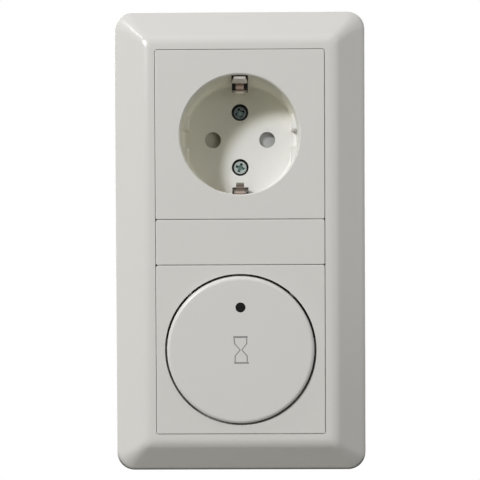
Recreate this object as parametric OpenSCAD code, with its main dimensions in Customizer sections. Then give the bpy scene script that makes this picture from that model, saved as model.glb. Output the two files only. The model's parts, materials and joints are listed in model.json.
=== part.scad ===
// Two-gang flush combination for a wall: an earthed socket outlet above a push-button timer switch.
// It stands as it hangs: X to the right, Z up, the front faces -Y and the wall is the plane Y = 0.
// The origin is on the wall, midway between the four screws that hold it on its two wall boxes.
// Pieces are drawn on a flat wall, x to the right, y up and z out of it, and on_wall() stands them up.

/* [Cover frame] */
// Width of the cover frame
frame_w = 85; // [83:0.5:94]
// Height of the cover frame
frame_l = 156; // [154:0.5:165]
// Height of the flat rim above the wall
frame_rise = 11; // [10.6:0.1:12]
// Wall of the frame moulding
frame_wall = 2; // [1.6:0.1:2.4]
// Corner radius of the frame at the wall
frame_corner_r = 6; // [5:0.5:8]
// Height of the upright edge below the slope
edge_h = 1.8; // [1.6:0.1:2.6]
// Rounding between the upright edge and the slope
edge_r = 1.2; // [0.6:0.1:1.6]
// Width of the flat rim round the opening, up to the line where the slope would meet it
rim_w = 3.4; // [2.6:0.1:4.4]
// Rounding between the slope and the rim
rim_r = 4; // [2:0.5:5]
// Thickness of the stiffening ribs
rib_t = 1.2; // [0.8:0.1:1.6]
// Clear height under the ribs and the ledge skirt
rib_rise = 4; // [3.5:0.1:4.6]

/* [Centre plates] */
// Side of a centre plate
plate_w = 55.8; // [55:0.1:57]
// Distance between the two gangs
gang_pitch = 71; // [70.8:0.1:73]
// Gap all round a plate
plate_gap = 0.15; // [0.1:0.05:0.4]
// Thickness of a plate
plate_t = 2; // [1.6:0.1:2.4]
// Height of a plate's edge, from its seat to its front
plate_edge_h = 4; // [3.6:0.1:4.4]
// Wall of a plate's edge
plate_wall = 1.6; // [1.2:0.1:2]
// Rounding of a plate's front edges
plate_edge_r = 0.3; // [0.2:0.1:0.6]
// Corner radius of a plate
plate_corner_r = 0.8; // [0.5:0.1:1.2]
// How far the frame's ledge reaches under the plates
ledge_reach = 1.6; // [1.2:0.1:2]
// Thickness of the ledge
ledge_t = 1.6; // [1.2:0.1:2]
// Width of a clip of the filler strip
clip_w = 6; // [4:0.5:8]
// Distance between the clips of the filler strip
clip_pitch = 30; // [24:1:36]
// Thickness of the clips of the filler strip and the timer cover
clip_t = 1.2; // [1:0.1:1.4]
// Catch of a clip
clip_catch = 0.6; // [0.4:0.1:0.8]

/* [Plug recess] */
// Diameter of the recess
recess_d = 39.5; // [39:0.1:40.5]
// Depth of the recess
recess_depth = 17.5; // [17:0.1:18.5]
// Wall of the recess
recess_wall = 1.6; // [1.2:0.1:1.8]
// Floor of the recess
recess_floor_t = 1.8; // [1.5:0.1:2.2]
// Chamfer at the mouth of the recess
recess_chamfer = 0.4; // [0.2:0.1:0.6]
// Rounding between the wall and the floor of the recess
recess_fillet = 1; // [0.6:0.1:1.2]
// Distance between the two side flats
flat_pitch = 35.6; // [34.6:0.1:36.6]
// Depth of the side flats below the front
flat_depth = 10; // [8:0.5:12]
// Width of the groove in a side flat
groove_w = 6; // [5:0.1:7]
// Distance between the pin holes
pin_pitch = 19; // [18.8:0.1:19.2]
// Diameter of a pin hole
pin_hole_d = 5.6; // [5.4:0.1:5.8]
// Distance between the cover screws
cover_screw_pitch = 19.2; // [18.8:0.1:20]
// Thread diameter of a cover screw
cover_screw_d = 3; // [2.6:0.1:3.2]
// Head diameter of a cover screw
cover_screw_head_d = 4.8; // [4.4:0.1:5]
// Height of a cover screw's head
cover_screw_head_h = 1.9; // [1.6:0.1:2.2]
// Diameter of the well round a cover screw
screw_well_d = 5.9; // [5.6:0.1:6.2]
// Depth of a cover screw's head below the floor
screw_sink = 1.2; // [0.8:0.1:1.6]
// Wall round a screw well
screw_well_wall = 0.8; // [0.7:0.1:1]
// Turn of the cross in the cover screws, in degrees
cover_screw_turn = 20; // [0:5:40]

/* [Earth strap] */
// Width of the strap
strap_w = 5.2; // [4.6:0.1:5.6]
// Thickness of the strap
strap_t = 0.8; // [0.6:0.1:1]
// Width of the spring fingers
finger_w = 2.7; // [2.2:0.1:3.2]
// Distance of the fingers' crests from the socket's axis
finger_reach = 15.3; // [15:0.1:16]
// Depth of the crests below the front
crest_depth = 11; // [10:0.1:12]
// Distance of the fingers' tips from the socket's axis
tip_reach = 19.1; // [18.6:0.1:19.2]
// Depth of the tips below the front
tip_depth = 1.9; // [1.5:0.1:2.5]
// Width of the tips
tip_w = 3.7; // [3:0.1:4.4]
// Distance of the strap's legs from the socket's axis
leg_reach = 17.4; // [17:0.1:18]

/* [Shutter] */
// Thickness of the shutter
shutter_t = 2.8; // [2.4:0.1:3]
// Overlap of the shutter round a pin hole
shutter_overlap = 0.7; // [0.5:0.1:0.8]
// Width of the bars that join the shutter's two pads
shutter_bar_w = 1.2; // [1:0.1:1.4]
// Slope of the pads, in degrees, which lets the pins push the shutter aside
shutter_ramp = 16; // [10:1:17]
// Mean diameter of the return spring
shutter_spring_d = 1.5; // [1.2:0.1:1.6]
// Wire of the return spring
shutter_wire_d = 0.3; // [0.2:0.05:0.3]
// Coils of the return spring
shutter_coils = 8; // [6:1:9]
// Thickness of the peg that the return spring stands on
shutter_peg_t = 1.2; // [1:0.1:1.4]

/* [Flush bodies] */
// Side of the flush bodies
body_w = 48; // [47.6:0.1:49]
// Corner radius of the flush bodies
body_corner_r = 10; // [9:0.1:10.5]
// Place of the screws that hold a body together, as a share of the way from the recess to the body's corner
body_screw_place = 0.46; // [0.4:0.01:0.5]
// Thread diameter of those screws
body_screw_d = 3; // [2.6:0.1:3.2]
// Head diameter of those screws
body_screw_head_d = 5.4; // [5:0.1:5.6]
// Head height of those screws
body_screw_head_h = 1.8; // [1.5:0.1:2]
// Wall of the bodies' tubs
body_wall = 1.8; // [1.4:0.1:2]
// Depth of the socket's base behind the wall
base_depth = 22.4; // [22:0.1:24]
// Depth of the socket's back cover
back_cover_depth = 8; // [7.6:0.1:9]
// Depth of the timer's housing behind the wall
housing_depth = 25; // [24.6:0.1:27]

/* [Support rings] */
// Width of a support ring
ring_w = 70.4; // [69:0.1:71]
// Distance between a support ring and the end wall of the frame
ring_margin = 5.3; // [4:0.1:6]
// Gap between the two support rings
ring_gap = 0.6; // [0.4:0.1:1]
// Thickness of a support ring
ring_t = 1.2; // [1:0.1:1.4]
// Corner radius of a support ring
ring_corner_r = 6; // [4:0.5:8]
// Diameter of the bore in a support ring
ring_bore_d = 44.6; // [44.2:0.1:45]
// Distance between the two box screws of one gang
box_screw_pitch = 60; // [59.5:0.1:60.5]
// Diameter of a box screw hole
box_screw_hole_d = 4.4; // [4:0.1:5]
// Length of the spare slots above and below the bore
spare_slot_l = 11; // [8:0.5:13]
// Width of the spare slots
spare_slot_w = 3.8; // [3.4:0.1:3.9]
// Place of the spare slots, as a share of the way from the bore to the ring's end
spare_slot_place = 0.58; // [0.5:0.01:0.6]

/* [Contacts and terminals] */
// Bore of a contact sleeve
sleeve_bore_d = 4.6; // [4.5:0.1:4.8]
// Wall of a contact sleeve
sleeve_wall = 0.8; // [0.6:0.1:0.9]
// Split in a contact sleeve
sleeve_split = 1; // [0.6:0.1:1.4]
// Thickness of the terminal bars
bar_t = 0.8; // [0.6:0.1:1]
// Length of a terminal bar
bar_l = 15; // [14:0.5:16]
// Distance of the pole terminals from the socket's axis
terminal_reach = 16; // [15.6:0.1:16.4]
// Distance between the two wires of one pole
wire_pitch = 9; // [8.6:0.1:9.4]
// Side of a square wire hole
wire_hole_w = 3.4; // [3:0.1:3.6]
// Distance of the earth terminal from the socket's axis
earth_terminal_reach = 14; // [13.6:0.1:14.4]
// Thickness of a clamp spring
clamp_t = 0.4; // [0.3:0.05:0.5]
// Width of a clamp spring
clamp_w = 3; // [2.6:0.1:3.2]
// Width of a release lever
lever_w = 4; // [3.6:0.1:4.2]
// Length of a release lever
lever_l = 6; // [5:0.1:6.6]
// How far a release lever stands out of the back
lever_rise = 2; // [1.8:0.1:2.4]
// Travel of a release lever, until its post meets the bar
lever_travel = 1.5; // [1.2:0.1:1.7]
// Reach of a release lever's flange
lever_flange = 0.7; // [0.5:0.1:0.9]
// Thickness of a release lever's flange
lever_flange_t = 1.2; // [1:0.1:1.4]
// Width of the wings that press on the clamp springs
wing_w = 1.6; // [1.2:0.1:1.8]

/* [Timer button] */
// Diameter of the button
button_d = 48.6; // [48:0.1:49.2]
// Diameter of the hole in the timer cover
button_hole_d = 50.1; // [50:0.1:50.4]
// Height of the button above its plate
button_rise = 1.6; // [1.4:0.1:2.4]
// Thickness of the button's face
button_t = 1.8; // [1.5:0.1:2.2]
// Wall of the button's skirt
button_wall = 1.6; // [1.3:0.1:1.8]
// Rounding of the button's edge
button_edge_r = 1.3; // [0.8:0.1:1.5]
// Travel of the button
button_travel = 1.2; // [0.9:0.1:1.3]
// Height of the hooks that hold the button in its cover
hook_t = 1.1; // [0.9:0.1:1.2]
// Reach of those hooks
hook_reach = 1.35; // [1.1:0.05:1.5]
// Width of those hooks
hook_w = 6; // [4:0.5:8]
// Number of hooks
hook_count = 4; // [3:1:6]
// Distance of the lamp from the button's centre
lamp_offset = 14.1; // [13:0.1:15]
// Diameter of the light guide
lamp_d = 3.2; // [2.8:0.1:3.6]
// Distance of the button's springs from its centre
spring_offset = 15; // [14.5:0.1:15.5]
// Mean diameter of a button spring
spring_d = 5.2; // [4.8:0.1:5.6]
// Wire of a button spring
spring_wire_d = 0.5; // [0.4:0.05:0.6]
// Coils of a button spring
spring_coils = 6; // [5:1:7]
// Thickness of the carrier plate
carrier_t = 1.6; // [1.4:0.1:1.7]
// Side of the carrier plate
carrier_w = 52; // [51:0.1:52.4]
// Side of the towers that take the cover's clips
tower_w = 5.2; // [5:0.1:5.6]
// Height of those towers above the carrier plate
tower_h = 3.6; // [3.4:0.1:4]
// Distance of the carrier's feet from its centre, sideways and upwards
foot_offset = 13.5; // [13:0.1:13.8]
// Diameter of the carrier's feet
foot_d = 4; // [3:0.1:4.2]

/* [Timer circuit] */
// Thickness of the circuit board
board_t = 1.6; // [1.2:0.1:1.8]
// Depth of the board's front behind the wall
board_depth = 3; // [2.8:0.1:3.2]
// Side of the push switch
key_w = 6; // [5.6:0.1:6.4]
// Height of the push switch
key_h = 3.6; // [3.4:0.1:3.8]
// Diameter of the switch plunger
plunger_d = 3.5; // [3:0.1:3.8]
// Width of the relay
relay_w = 28.6; // [27:0.1:29.2]
// Thickness of the relay
relay_t = 12.4; // [11:0.1:12.8]
// Height of the relay
relay_h = 15.4; // [14:0.1:17]
// Width of the film capacitor
film_w = 17; // [15:0.5:18]
// Thickness of the film capacitor
film_t = 8; // [7:0.1:8.4]
// Height of the film capacitor
film_h = 14; // [12:0.5:15]
// Diameter of the electrolytic capacitor
can_d = 8; // [7:0.5:8]
// Height of the electrolytic capacitor
can_h = 12; // [10:0.5:14]
// Diameter of the varistor
varistor_d = 9; // [8:0.5:10]
// Thickness of the varistor
varistor_t = 3.6; // [3:0.1:4]
// Length of the controller chip
chip_l = 8.7; // [6:0.1:10]
// Width of the controller chip
chip_w = 3.9; // [3:0.1:5]
// Height of the controller chip
chip_h = 1.4; // [1:0.1:1.6]
// Width of the terminal block
block_w = 29; // [28:0.1:29.2]
// Depth of the terminal block
block_d = 10; // [9.6:0.1:10.4]
// Height of the terminal block
block_h = 12; // [11.6:0.1:12.6]
// Distance between the timer's terminals
block_pitch = 7; // [6.8:0.1:7.1]
// Thread diameter of a terminal screw
terminal_screw_d = 2.8; // [2.5:0.1:3]
// Head diameter of a terminal screw
terminal_head_d = 4.2; // [3.8:0.1:4.4]
// Head height of a terminal screw
terminal_head_h = 1.8; // [1.5:0.1:2]
// Width of a terminal cage
cage_w = 5.4; // [5.2:0.1:5.6]
// Depth of a terminal cage
cage_d = 5; // [4.6:0.1:5.4]
// Height of a terminal cage
cage_h = 6; // [5.6:0.1:6.4]
// Wall of a terminal cage
cage_wall = 1; // [0.8:0.1:1.1]
// Depth of the cages below the back of the block
cage_depth = 4; // [3.6:0.1:4.4]
// Side of a terminal's pin
clamp_pin_w = 1; // [0.8:0.1:1.2]

/* [Clearances and thin walls] */
// Play between pieces that slide or turn past each other
run_play = 0.4; // [0.3:0.05:0.5]
// Play between pieces that sit in one another
seat_play = 0.2; // [0.15:0.05:0.3]
// Play of a screw in its hole and of a pin in its bore
pin_play = 0.06; // [0.03:0.01:0.1]
// Thickness of thin floors and lips inside
floor_t = 0.8; // [0.7:0.05:0.9]

/* [Hidden] */

$fn = 64;
// Overshoot of a cut past the face that it opens
over = 0.5;
// Overlap of pieces of one moulding that grow out of each other
slice = 0.01;
// Overlap that lets a turned corner run into the sides beside it
blend = 0.02;
// Parts of a screw head's height that are domed and that the cross is sunk into
head_dome = 0.35;
head_sink = 0.55;
// Parts of a screw head's diameter that the cross is wide and long
cross_width = 0.2;
cross_length = 0.62;
// Points of one coil of a spring and sides of its wire
coil_steps = 12;
wire_sides = 6;
// Sides of the corner points where an edge turns in four directions
corners = [[1, 1], [-1, 1], [-1, -1], [1, -1]];

ivory = "#e9e7df";
button_white = "#ebe9e3";
steel = "#b9bcc0";
zinc = "#a9b0ad";
nickel = "#b8ab98";
brass = "#c9a24a";
dark_plastic = "#3a3d42";
grey_plastic = "#8d9093";

// Cover frame and plates, heights above the wall
opening_w = plate_w + 2 * plate_gap;
opening_l = opening_w + gang_pitch;
window_w = opening_w - 2 * ledge_reach;
ledge_z = frame_rise - plate_edge_h;
ledge_back_z = ledge_z - ledge_t;
plate_back_z = frame_rise - plate_t;
strip_l = gang_pitch - plate_w - 2 * plate_gap;
strip_slot_w = 4 * clip_t + 2 * seat_play;
slope_run = (frame_w - opening_w) / 2 - rim_w;
slope_run_l = (frame_l - opening_l) / 2 - rim_w;

// Socket, heights above the wall
recess_r = recess_d / 2;
recess_outer_r = recess_r + recess_wall;
floor_z = frame_rise - recess_depth;
cup_back_z = floor_z - recess_floor_t;
shutter_z = floor_z - floor_t - seat_play;
shutter_back_z = shutter_z - shutter_t;
strap_z = shutter_back_z - run_play;
strap_back_z = strap_z - strap_t;
screw_seat_z = floor_z - screw_sink - cover_screw_head_h;
screw_well_r = screw_well_d / 2;
screw_boss_r = screw_well_r + screw_well_wall;
screw_tip_z = strap_back_z - cover_screw_d / 2;
slot_w = strap_w + 2 * seat_play;
slot_reach = leg_reach - strap_t / 2 - run_play;
shutter_pad_l = pin_hole_d + 2 * shutter_overlap;
shutter_l = pin_pitch + shutter_pad_l;
shutter_gap_l = pin_pitch - shutter_pad_l;
shutter_gap_w = pin_hole_d + 2 * seat_play;
shutter_w = shutter_gap_w + 2 * shutter_bar_w;
shutter_travel = pin_hole_d + shutter_overlap;
shutter_run = shutter_l + shutter_travel + 2 * run_play;
peg_x = -shutter_gap_l / 2 + run_play + shutter_peg_t / 2;
pocket_r = recess_outer_r + run_play;
corner_reach = (body_w / 2 - body_corner_r) * sqrt(2) + body_corner_r;
body_screw_reach = pocket_r + body_screw_place * (corner_reach - pocket_r);
body_screw_pitch = body_screw_reach * sqrt(2);
ring_in = (gang_pitch - ring_gap) / 2;
ring_out = (frame_l - gang_pitch) / 2 - frame_wall - ring_margin;
base_back_z = -base_depth;
bar_back_z = base_back_z - bar_t;
cover_back_z = base_back_z - back_cover_depth;
cover_inner_z = cover_back_z + body_wall;
sleeve_r = sleeve_bore_d / 2 + sleeve_wall;
sleeve_z = strap_back_z - seat_play;
lever_flange_z = cover_inner_z + seat_play;
lever_top_z = lever_flange_z + lever_flange_t;
wing_x = wire_hole_w / 2 + wing_w / 2 + slice;

// Timer, heights above the wall
button_z = frame_rise + button_rise;
button_back_z = button_z - button_t;
button_r = button_d / 2;
carrier_z = ring_t + carrier_t;
skirt_z = carrier_z + button_travel + run_play;
collar_z = skirt_z + hook_t + run_play;
board_z = -board_depth;
board_back_z = board_z - board_t;
key_z = board_z + key_h;
plunger_z = skirt_z - pin_play;
plunger_back_z = board_z + floor_t + button_travel + run_play;
guide_z = skirt_z + seat_play;
guide_seat_z = guide_z + hook_t;
housing_back_z = -housing_depth;
tower_z = carrier_z + tower_h;
tower_offset = carrier_w / 2 - tower_w / 2 - floor_t;
block_z = housing_back_z + block_h;
block_side = body_w / 2;
cage_y = -block_side + block_d / 2 + floor_t;
cage_z = housing_back_z + cage_depth;
relay_y = body_w / 2 - body_wall - relay_t;
row_y = -film_t / 2;
can_x = can_d / 2 + floor_t;

// Places of the socket's three terminals, with the turn that brings a pole's layout to each
terminals = [
    [[-terminal_reach, 0], 0],
    [[terminal_reach, 0], 0],
    [[0, -earth_terminal_reach], 90]
];

function unit(v) = v / norm(v);
function turned(v) = [-v[1], v[0]];

// Point of a bent strip's side, d off its centre line, mitred at the bends
function strip_side(path, i, d) =
    let (before = turned(unit(path[max(i, 1)] - path[max(i, 1) - 1])))
    let (after = turned(unit(path[min(i, len(path) - 2) + 1] - path[min(i, len(path) - 2)])))
    path[i] + d * (before + after) / (1 + before * after);

// Outline of a strip of even thickness that is bent along a path
function strip_outline(path, t) = concat(
    [for (i = [0 : len(path) - 1]) strip_side(path, i, t / 2)],
    [for (i = [len(path) - 1 : -1 : 0]) strip_side(path, i, -t / 2)]
);

// Points of a helix of wire from z0 to z1
function helix(r, z0, z1, turns, steps) =
    [for (i = [0 : turns * steps])
        [r * cos(360 * i / steps), r * sin(360 * i / steps), z0 + (z1 - z0) * i / (turns * steps)]];

// Direction of a path at one of its points
function heading(path, i) = unit(path[min(i + 1, len(path) - 1)] - path[max(i - 1, 0)]);

// One ring of a wire's skin
function wire_ring(path, i, r, sides) =
    let (along = heading(path, i))
    let (across = unit(cross(along, [0, 0, 1])))
    let (up = cross(across, along))
    [for (s = [0 : sides - 1]) path[i] + r * (cos(360 * s / sides) * across + sin(360 * s / sides) * up)];

module on_wall() {
    rotate([90, 0, 0]) children();
}

module at_socket() {
    on_wall() translate([0, gang_pitch / 2, 0]) children();
}

module at_timer() {
    on_wall() translate([0, -gang_pitch / 2, 0]) children();
}

module at_corners(offset) {
    for (c = corners) translate([c[0] * offset, c[1] * offset, 0]) children();
}

module rounded_rect(w, l, r) {
    square([w - 2 * r, l], center = true);
    square([w, l - 2 * r], center = true);
    for (c = corners) translate([c[0] * (w / 2 - r), c[1] * (l / 2 - r)]) circle(r);
}

module block(w, l, r, z0, z1) {
    translate([0, 0, z0]) linear_extrude(z1 - z0) rounded_rect(w, l, r);
}

module box(size, z0, z1) {
    translate([-size[0] / 2, -size[1] / 2, z0]) cube([size[0], size[1], z1 - z0]);
}

module rod(r, z0, z1) {
    translate([0, 0, z0]) cylinder(r = r, h = z1 - z0);
}

// Side view of a slab whose two front edges are rounded
module edged_side(w, z0, z1, r) {
    translate([-w / 2, z0]) square([w, z1 - z0 - r]);
    translate([-w / 2 + r, z0]) square([w - 2 * r, z1 - z0]);
    for (s = [-1, 1]) translate([s * (w / 2 - r), z1 - r]) circle(r);
}

// Flat plate with rounded front edges
module edged_plate(w, l, z0, z1) {
    intersection() {
        block(w, l, plate_corner_r, z0, z1);
        translate([0, l / 2, 0]) rotate([90, 0, 0]) linear_extrude(l) edged_side(w, z0, z1, plate_edge_r);
        translate([-w / 2, 0, 0]) rotate([90, 0, 90]) linear_extrude(w) edged_side(l, z0, z1, plate_edge_r);
    }
}

module wire(path, r, sides) {
    rings = len(path);
    points = [for (i = [0 : rings - 1]) each wire_ring(path, i, r, sides)];
    skin = [for (i = [0 : rings - 2]) for (s = [0 : sides - 1])
        let (a = i * sides + s)
        let (b = i * sides + (s + 1) % sides)
        each [[a, b + sides, b], [a, a + sides, b + sides]]];
    first = [for (s = [1 : sides - 2]) [0, s, s + 1]];
    last_ring = (rings - 1) * sides;
    last = [for (s = [1 : sides - 2]) [last_ring, last_ring + s + 1, last_ring + s]];
    polyhedron(points, concat(skin, first, last));
}

// Screw with a domed head and a cross recess, its head's seat at z = 0
module pan_screw(d, head_d, head_h, l) {
    dome_h = head_h * head_dome;
    dome_r = (head_d * head_d / 4 + dome_h * dome_h) / (2 * dome_h);
    cross_z = head_h * (1 - head_sink);
    difference() {
        intersection() {
            rod(head_d / 2, 0, head_h);
            translate([0, 0, head_h - dome_r]) sphere(dome_r);
        }
        for (a = [0, 90]) rotate(a)
            box([head_d * cross_length, head_d * cross_width], cross_z, head_h + over);
    }
    rod(d / 2, -l, slice);
}

// Slope of a side whose sloped part is as wide as run
function side_angle(run) = atan2(frame_rise - edge_h, run);

// Points of half a side view of the frame: centres of the two roundings and where they touch the slope
function edge_centre(x, a) = [x - edge_r, edge_h - edge_r * tan((90 - a) / 2)];
function rim_centre(x, run, a) = [x - run - rim_r * tan(a / 2), frame_rise - rim_r];
function outward(a) = [sin(a), cos(a)];

function both_halves(half) = concat(half, [for (i = [len(half) - 1 : -1 : 0]) [-half[i][0], half[i][1]]]);

// Side view of the frame's outside, with its rounded foot and rim
module frame_side(w, run) {
    a = side_angle(run);
    foot = edge_centre(w / 2, a);
    rim = rim_centre(w / 2, run, a);
    polygon(both_halves([
        [w / 2, 0],
        [w / 2, foot[1]],
        foot + (edge_r - slice) * outward(a),
        rim + (rim_r - slice) * outward(a),
        [rim[0], frame_rise]
    ]));
    for (s = [-1, 1]) {
        translate([s * foot[0], foot[1]]) circle(edge_r);
        translate([s * rim[0], rim[1]]) circle(rim_r);
    }
}

// Side view of the frame's inside, one wall within its outside
module hollow_side(w, run) {
    a = side_angle(run);
    reach = frame_wall * (1 / sin(a) - 1);
    top_z = frame_rise - frame_wall;
    polygon(both_halves([
        [w / 2 - frame_wall, -over],
        [w / 2 - frame_wall, edge_h - reach * tan(a)],
        [w / 2 - frame_wall - reach - (top_z - edge_h) / tan(a), top_z]
    ]));
}

// Side view of a rounded corner, from its axis outwards
module corner_side() {
    a = side_angle(slope_run);
    foot = edge_centre(frame_corner_r + blend, a);
    touch = foot + (edge_r - slice) * outward(a);
    polygon([[0, 0], [frame_corner_r + blend, 0], [frame_corner_r + blend, foot[1]], touch,
        [0, touch[1] + touch[0] * tan(a)]]);
    translate(foot) circle(edge_r);
}

module hollow_corner_side() {
    a = side_angle(slope_run);
    r = frame_corner_r - frame_wall + blend;
    knee_z = edge_h - frame_wall * (1 / sin(a) - 1) * tan(a);
    polygon([[0, -over], [r, -over], [r, knee_z], [0, knee_z + r * tan(a)]]);
}

// Solid whose front view has rounded corners: its two side views, and a turned corner in each corner
module cornered(w, l, r) {
    intersection() {
        translate([0, l, 0]) rotate([90, 0, 0]) linear_extrude(2 * l) children(0);
        translate([-w, 0, 0]) rotate([90, 0, 90]) linear_extrude(2 * w) children(1);
        union() {
            box([w - 2 * r, 2 * l], -2 * over, 2 * frame_rise);
            box([2 * w, l - 2 * r], -2 * over, 2 * frame_rise);
            for (c = corners) translate([c[0] * (w / 2 - r), c[1] * (l / 2 - r), 0])
                rotate_extrude() children(2);
        }
    }
}

module frame_outside() {
    cornered(frame_w, frame_l, frame_corner_r) {
        frame_side(frame_w, slope_run);
        frame_side(frame_l, slope_run_l);
        corner_side();
    }
}

module frame_inside() {
    cornered(frame_w - 2 * frame_wall, frame_l - 2 * frame_wall, frame_corner_r - frame_wall) {
        hollow_side(frame_w, slope_run);
        hollow_side(frame_l, slope_run_l);
        hollow_corner_side();
    }
}

// Ribs between the skirt and the sloped sides, in quarters of the gangs' distance but for the box screws
module frame_ribs() {
    for (x = [-1, 1]) for (i = [-3, -1, 0, 1, 3])
        translate([x * (opening_w + frame_w) / 4, i * gang_pitch / 4, 0])
            box([(frame_w - opening_w) / 2, rib_t], rib_rise, frame_rise);
    for (y = [-1, 1]) for (x = [-1, 0, 1])
        translate([x * plate_w / 3, y * (opening_l + frame_l) / 4, 0])
            box([rib_t, (frame_l - opening_l) / 2], rib_rise, frame_rise);
}

module cover_frame() {
    color(ivory) on_wall() difference() {
        frame_outside();
        difference() {
            frame_inside();
            block(opening_w + 2 * frame_wall, opening_l + 2 * frame_wall, plate_corner_r, rib_rise,
                frame_rise);
            frame_ribs();
        }
        block(opening_w, opening_l, plate_corner_r + plate_gap, ledge_z, frame_rise + over);
        for (s = [-1, 1]) translate([0, s * gang_pitch / 2, 0])
            block(window_w, window_w, plate_corner_r, -over, frame_rise);
        block(opening_w, opening_l, plate_corner_r, rib_rise - over, ledge_back_z);
        for (s = [-1, 1]) translate([s * clip_pitch / 2, 0, 0])
            box([clip_w + 2 * seat_play, strip_slot_w], -over, frame_rise);
    }
}

module filler_strip() {
    hook_z = ledge_back_z - seat_play;
    color(ivory) on_wall() {
        difference() {
            edged_plate(plate_w, strip_l, ledge_z, frame_rise);
            box([plate_w - 2 * plate_wall, strip_l - 2 * plate_wall], ledge_z - over, plate_back_z);
        }
        for (x = [-1, 1]) for (y = [-1, 1]) translate([x * clip_pitch / 2, y * 1.5 * clip_t, 0]) {
            box([clip_w, clip_t], hook_z - 2 * clip_catch, plate_back_z + slice);
            translate([-clip_w / 2, y * clip_t / 2, hook_z]) rotate([0, 90, 0]) linear_extrude(clip_w)
                polygon([[0, 0], [0, y * clip_catch], [2 * clip_catch, 0]]);
        }
    }
}

// The two pairs of flats that guide a plug, cut through by a groove
module recess_flats() {
    intersection() {
        rod(recess_r + slice, floor_z - slice, frame_rise - flat_depth);
        difference() {
            box([recess_d, recess_d], floor_z - over, frame_rise);
            box([flat_pitch, recess_d], floor_z - over, frame_rise);
            box([recess_d, groove_w], floor_z - over, frame_rise);
        }
    }
}

// Room in the recess, with the rounding at its floor
module recess_room() {
    rotate_extrude() {
        translate([0, floor_z]) square([recess_r - recess_fillet, recess_depth + over]);
        translate([0, floor_z + recess_fillet]) square([recess_r, recess_depth + over - recess_fillet]);
        translate([recess_r - recess_fillet, floor_z + recess_fillet]) circle(recess_fillet);
    }
}

module socket_cover() {
    corner_rib_l = plate_w / 5;
    color(ivory) at_socket() difference() {
        union() {
            difference() {
                edged_plate(plate_w, plate_w, ledge_z, frame_rise);
                box([plate_w - 2 * plate_wall, plate_w - 2 * plate_wall], ledge_z - over, plate_back_z);
            }
            rod(recess_outer_r, cup_back_z, plate_back_z + slice);
            for (a = [45 : 90 : 315]) rotate(a) translate([recess_outer_r + corner_rib_l / 2, 0, 0])
                box([corner_rib_l, rib_t], ledge_z, plate_back_z + slice);
            for (s = [-1, 1]) translate([0, s * cover_screw_pitch / 2, 0])
                rod(screw_boss_r, strap_z, cup_back_z + slice);
        }
        difference() {
            recess_room();
            recess_flats();
        }
        translate([0, 0, frame_rise - recess_chamfer])
            cylinder(r1 = recess_r, r2 = recess_r + 2 * recess_chamfer, h = 2 * recess_chamfer);
        translate([-shutter_travel / 2, 0, 0])
            box([shutter_run, shutter_w + 2 * seat_play], cup_back_z - over, floor_z - floor_t);
        for (s = [-1, 1]) {
            translate([s * pin_pitch / 2, 0, 0]) rod(pin_hole_d / 2, cup_back_z - over, floor_z + over);
            translate([0, s * cover_screw_pitch / 2, 0]) {
                rod(screw_well_r, screw_seat_z, floor_z + over);
                rod(cover_screw_d / 2 + seat_play, strap_z - over, floor_z);
            }
            translate([0, s * (slot_reach + recess_outer_r + over) / 2, 0])
                box([slot_w, recess_outer_r + over - slot_reach], cup_back_z - over,
                    frame_rise - tip_depth + strap_t);
        }
    }
}

module socket_cover_screws() {
    color(zinc) at_socket() for (s = [-1, 1]) translate([0, s * cover_screw_pitch / 2, screw_seat_z])
        rotate(s * cover_screw_turn) pan_screw(cover_screw_d, cover_screw_head_d, cover_screw_head_h,
            screw_seat_z - screw_tip_z);
}

// Spring finger in side view, from its tip in the mouth of the recess to the foot of its leg
function finger_path() = [
    [tip_reach, frame_rise - tip_depth],
    [(tip_reach + leg_reach) / 2, frame_rise - (tip_depth + crest_depth) / 2],
    [finger_reach + strap_t / 2, frame_rise - crest_depth],
    [leg_reach, cup_back_z],
    [leg_reach, strap_z - strap_t / 2]
];

function mirrored(path) = [for (i = [len(path) - 1 : -1 : 0]) [-path[i][0], path[i][1]]];

// Strap in side view: finger, leg, cross strip, and the other finger
function strap_path() = concat(finger_path(), mirrored(finger_path()));

// Tail from the lower leg to the earth terminal
function tail_path() = [
    [-leg_reach, strap_z - strap_t],
    [-leg_reach, base_back_z - bar_t / 2],
    [-earth_terminal_reach + wire_pitch / 2, base_back_z - bar_t / 2]
];

module side_strip(path, t, w) {
    translate([-w / 2, 0, 0]) rotate([90, 0, 90]) linear_extrude(w) polygon(strip_outline(path, t));
}

// Front view of the strap: wide legs, narrow fingers, and tips that taper into the mouth
module strap_front() {
    neck_z = frame_rise - (tip_depth + crest_depth) / 2;
    foot_z = cup_back_z - strap_t;
    polygon(both_halves([
        [strap_w / 2, bar_back_z - over],
        [strap_w / 2, foot_z],
        [finger_w / 2, foot_z],
        [finger_w / 2, neck_z],
        [strap_w / 2, neck_z],
        [tip_w / 2, frame_rise - tip_depth],
        [tip_w / 2, frame_rise]
    ]));
}

module earth_strap() {
    color(nickel) at_socket() {
        difference() {
            intersection() {
                side_strip(strap_path(), strap_t, strap_w + over);
                translate([0, recess_d, 0]) rotate([90, 0, 0]) linear_extrude(2 * recess_d) strap_front();
            }
            for (s = [-1, 1]) translate([0, s * cover_screw_pitch / 2, 0])
                rod(cover_screw_d / 2 + pin_play, strap_back_z - over, strap_z + over);
        }
        side_strip(tail_path(), bar_t, strap_w);
        translate([0, -earth_terminal_reach, 0]) box([bar_l, wire_hole_w], bar_back_z, base_back_z);
    }
}

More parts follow.
